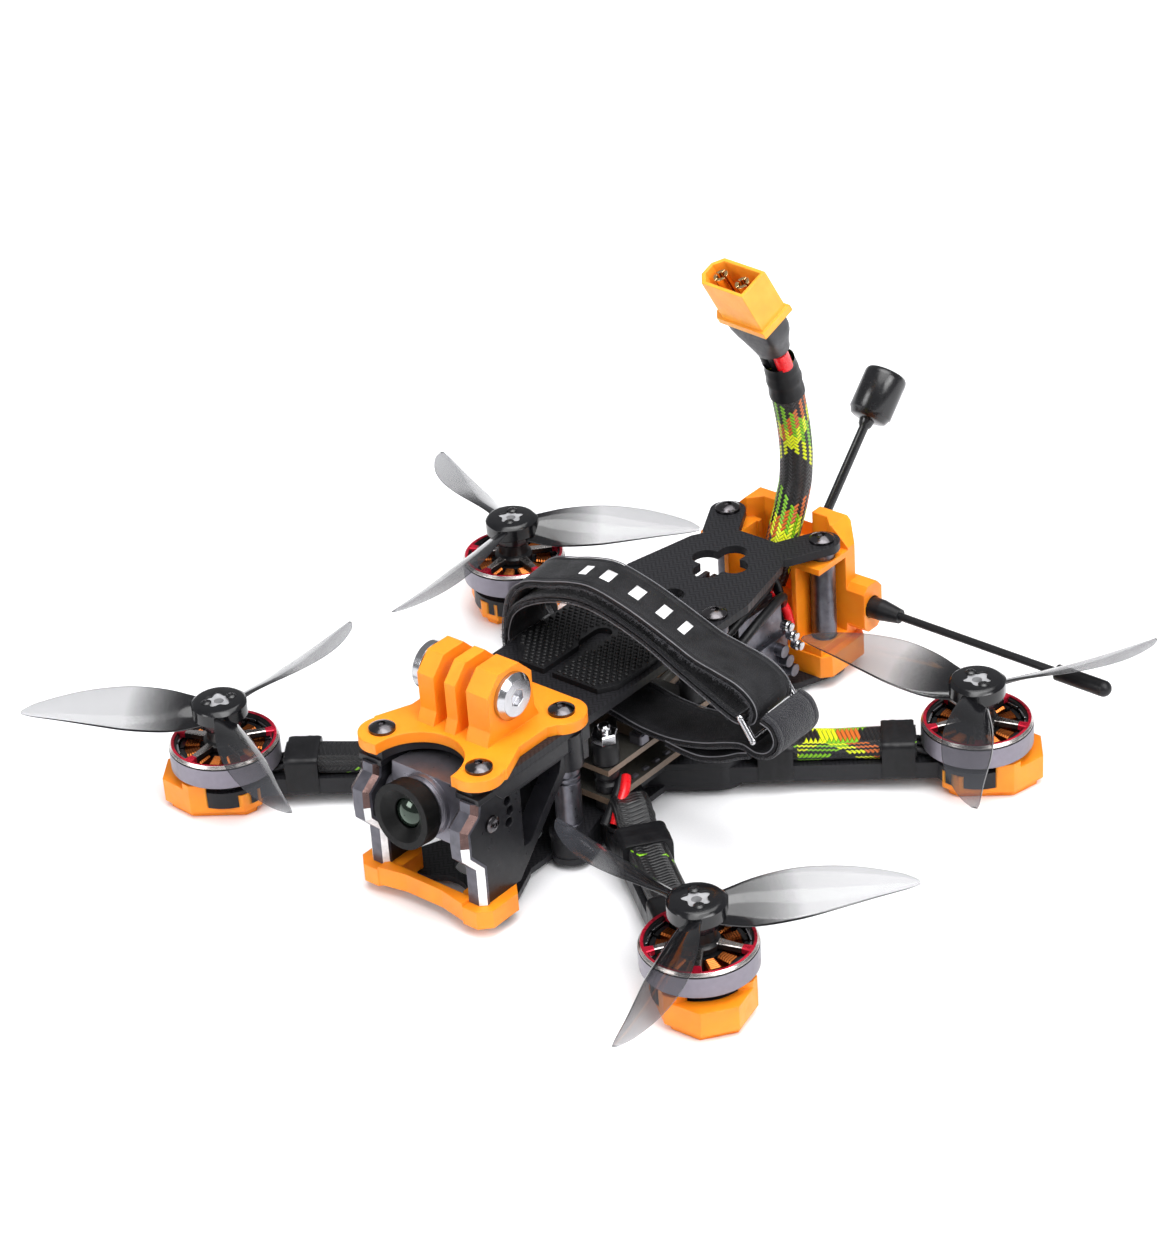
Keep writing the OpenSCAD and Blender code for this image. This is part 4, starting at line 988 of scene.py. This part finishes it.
def make_electronics():
    """Chips, sockets, ports, solder and wires on the two boards and the video unit."""
    esc_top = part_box("esc_board")[0].z / MM
    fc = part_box("flight_controller")
    fc_low = fc[0].z / MM + 1.6
    fc_top = fc_low + 1.4
    unit_low, unit_high = (Vector(c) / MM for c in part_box("video_unit"))
    chips, metal = [], []
    for x, y, w, d, h in ((-6, 9, 5, 4, 1.1), (5, 10, 4, 4, 1.2), (-12, 8, 3, 6, 1.4), (8, -9, 3, 2, 0.9),
                          (-8, -9, 4, 3, 1), (12, 9, 2.5, 2.5, 1), (-3, -8, 2, 2, 0.8)):
        chips.append(rounded_block((x, y, fc_top - 0.05), (x + w, y + d, fc_top + h), "black_plastic", 0.15))
    for x, y, w, d, h in ((14.5, -6.5, 3.4, 3, 2.6), (-17.4, 4, 3, 6, 2.4), (3, -17.6, 7, 3.2, 2.6),
                          (-9, -17.6, 7, 3.2, 2.6), (15.2, 7, 2.6, 3, 2.2)):
        metal.append(rounded_block((x, y, fc_top - 0.05), (x + w, y + d, fc_top + h), "camera_metal", 0.25))
    for i in range(8):
        y = -13 + i * 3.7
        for x in (-17.6, 16.6):
            corner = (x + 1.2, y + 1.8, esc_top + 2.1)
            metal.append(rounded_block((x, y, esc_top + 1.5), corner, "camera_metal", 0.2))
    place_piece("board_chips", join_meshes(chips, "chips"), "root")
    place_piece("board_sockets", join_meshes(metal, "sockets"), "root")

    x = unit_high.x
    port = [rounded_ring(4.6, -1.75, 1.75, 1.7, 6), rounded_ring(4.1, -1.3, 1.3, 1.25, 6)]
    face = x - 2.1
    rings = [[(px, unit_low.y + 8.2 + a, unit_low.z + 4.2 + b) for a, b in ring]
             for px, ring in ((face, port[0]), (face + 0.9, port[0]),
                              (face + 0.9, port[1]), (face - 2, port[1]))]
    place_piece("video_port", skin(rings, ["chrome_steel"]), "root")
    coax = []
    for i in range(3):
        rows = [(0.6, 0), (1.2, 0), (1.3, 0.4), (1.3, 1.6), (1, 1.9), (1, 2.6), (0.5, 2.8), (0, 2.8)]
        at = Vector((x - 0.2, unit_low.y + 12.8 + 1.8 * i, unit_high.z - 4.5 - 3.4 * i))
        turned = [[at + Vector((pz, px, py)) for px, py, pz in ring] for ring in lathe(rows, 20)]
        coax.append(skin(turned, ["chrome_steel"], closed=False, loop=True))
    place_piece("video_coax", join_meshes(coax, "coax"), "root")

    wires = {
        "red": [((18.6, -13, 14.5), (20.6, -16, 13.5), (21.8, -19.5, 11.5), (22.4, -22, 8.6)),
                ((3, 56, 25), (6, 57.5, 22), (8.5, 58.5, 18.5), (9.5, 59, 14))],
        "black": [((17.2, -13, 14.5), (19, -16.4, 12.8), (20, -20, 10.6), (20.4, -23, 8.2)),
                  ((8, -17, 20), (10, -24, 21), (6, -34, 22), (3, -39.6, 24)),
                  ((-8, -17, 20), (-9, -26, 22), (-6, -36, 22), (-3, -39.6, 24)),
                  ((10, 30, 22), (11.5, 40, 27), (9, 52, 27.5), (3, 60, 25)),
                  ((12.6, 30, 19), (14.4, 40, 25), (12.4, 52, 25.5), (7.5, 58.5, 19)),
                  ((3, 40, 27), (6, 50, 28), (7, 57, 26), (7.5, 59, 12))],
    }
    for shade, runs in wires.items():
        coat = "red_wire" if shade == "red" else "heat_shrink"
        tubes = [skin(tube_rings(smooth_path(run, 8), 1.15 if k in (0, 1, 3, 4, 5) else 0.6, 12), [coat])
                 for k, run in enumerate(runs)]
        place_piece(f"harness_{shade}", join_meshes(tubes, shade), "root")


def make_lens_details():
    """Threads on the lens barrel, inside the camera body's tilt."""
    tilt = Matrix.Translation(joint_at("camera_tilt")) @ Matrix.Rotation(radians(-7), 4, "X")
    rings = []
    for i in range(9):
        z = 2.5 + i * 0.3
        r = 6.45 if i % 2 else 6.75
        rings.append([tilt @ Vector((r * cos(a), -z, r * sin(a)))
                      for a in (2 * pi * k / 64 for k in range(64))])
    place_piece("lens_thread", skin(rings, ["camera_metal"]), "camera")


def make_pad():
    """Battery pad with close rows of small oval bumps and a keyhole slot."""
    low = Vector(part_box("battery_pad")[0]) / MM
    arc = lambda cy, first, last: [(-1 + 2.2 * cos(radians(first + (last - first) * k / 10)),
                                    cy + 2.2 * sin(radians(first + (last - first) * k / 10)))
                                   for k in range(11)]
    outline = ([(-15.5, -7), (-9, -14), (-2, -14)] + arc(0, 243, 180) + arc(5, 180, 0) + arc(0, 0, -50)
               + [(0.4, -14), (13, -14), (15.5, -10), (15.5, 17), (-15.5, 17)])
    top = low.z + 1.3
    parts = [skin([[(x, y, z) for x, y in outline] for z in (low.z, top)], ["battery_rubber"])]
    for row in range(26):
        for column in range(20):
            x, y = -14.4 + 1.6 * column + 0.8 * (row % 2), -13 + 1.18 * row
            slot = max(0, -y, y - 5)
            inside = (7 * (x + 15.5) + 6.5 * (y + 7) > 9 and -4 * (x - 13) + 2.5 * (y + 14) > 4
                      and x < 14.8 and hypot(x + 1, slot) > 3 and (y > 0 or abs(x + 0.8) > 2))
            if not inside:
                continue
            rings = [[(x + 0.62 * r * cos(a), y + 0.42 * r * sin(a), top + h)
                      for a in (pi * k / 4 for k in range(8))]
                     for r, h in ((1, -0.05), (0.92, 0.3), (0.5, 0.5))]
            parts.append(skin(rings, ["battery_rubber"]))
    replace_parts(place_piece("bumped_pad", join_meshes(parts, "pad"), "root"), "battery_pad")


def make_stack_bolts():
    """Four long bolts with nuts, and the rubber grommets and spacers between the boards."""
    low, high = (c.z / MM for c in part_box("stack_bolts"))
    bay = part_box("mid_plate")[1].z / MM
    bolt = [(0, low), (2.5, low), (2.7, low + 0.2), (2.7, low + 1.2), (1.45, low + 1.2), (1.45, high - 0.4),
            (1.1, high), (0, high)]
    nut = [(1.4, high - 4), (2.9, high - 4), (3.05, high - 3.7), (3.05, high - 2),
           (2.8, high - 1.7), (1.4, high - 1.7)]
    rubber = [(1.5, bay), (2.5, bay), (2.8, bay + 0.4), (2.8, bay + 2.6), (2.5, bay + 3), (2.5, bay + 4.6),
              (2.8, bay + 5), (2.8, bay + 6.6), (2.2, bay + 7.2), (2.2, bay + 7.8), (2.8, bay + 8.4),
              (2.8, bay + 9.8), (2.5, bay + 10), (2.5, bay + 11.5), (3, bay + 12), (3, high - 4.8),
              (2.6, high - 4.2), (1.5, high - 4.2)]
    metal, soft = [], []
    for x, y in ((15.25, 15.25), (15.25, -15.25), (-15.25, 15.25), (-15.25, -15.25)):
        for profile, steps, slot, group in (
                (bolt, 32, "chrome_steel", metal), (nut, 6, "chrome_steel", metal),
                (rubber, 32, "battery_rubber", soft)):
            rings = [[(x + px, y + py, pz) for px, py, pz in ring] for ring in lathe(profile, steps)]
            group.append(skin(rings, [slot], loop=True))
    bolts = place_piece("stack_bolt_set", join_meshes(metal, "bolts"), "root")
    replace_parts(bolts, "stack_bolts")
    place_piece("stack_grommets", join_meshes(soft, "grommets"), "root")


def make_video_antenna():
    """Mast and capped aerial with rounded ends, leaning back from the rear mount."""
    profile = [(0, 0), (1.15, 0), (1.15, 33.4), (1.6, 34), (1.9, 35.4), (3.7, 35.6), (4.4, 35.9), (4.9, 37),
               (5.2, 37.3), (5.2, 46.4), (5.05, 47.1), (4.6, 47.7), (3.8, 48), (0, 48)]
    place = Matrix.Translation((0, 78.8, 19.8)) @ Matrix.Rotation(radians(-45), 4, "X")
    rings = [[place @ Vector(q) for q in ring] for ring in lathe(profile, 48)]
    mesh = skin(rings, ["gloss_black"], loop=True)
    aerial = place_piece("capped_aerial", mesh, "root", sharp=50)
    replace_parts(aerial, "video_antenna")


def dress_cad_nodes():
    """Gives each CAD node that stays in view its record's finish."""
    slots = record_slots() | {"camera_lens": "lens_black"}
    slots |= {"prop_screws_" + c: "gloss_black" for c in CORNERS}
    for name, item in NODES.items():
        item.data.materials.clear()
        item.data.materials.append(MATERIALS[slots[name]])


MATERIALS = make_materials()
make_camera()
make_lead()
dress_cad_nodes()
make_strap()
for corner in CORNERS:
    make_propeller(corner)
    make_motor(corner)
    make_stator(corner)
    make_arm_wires(corner)
make_side_facings()
make_electronics()
make_lens_details()
make_pad()
make_stack_bolts()
make_video_antenna()
make_studio()
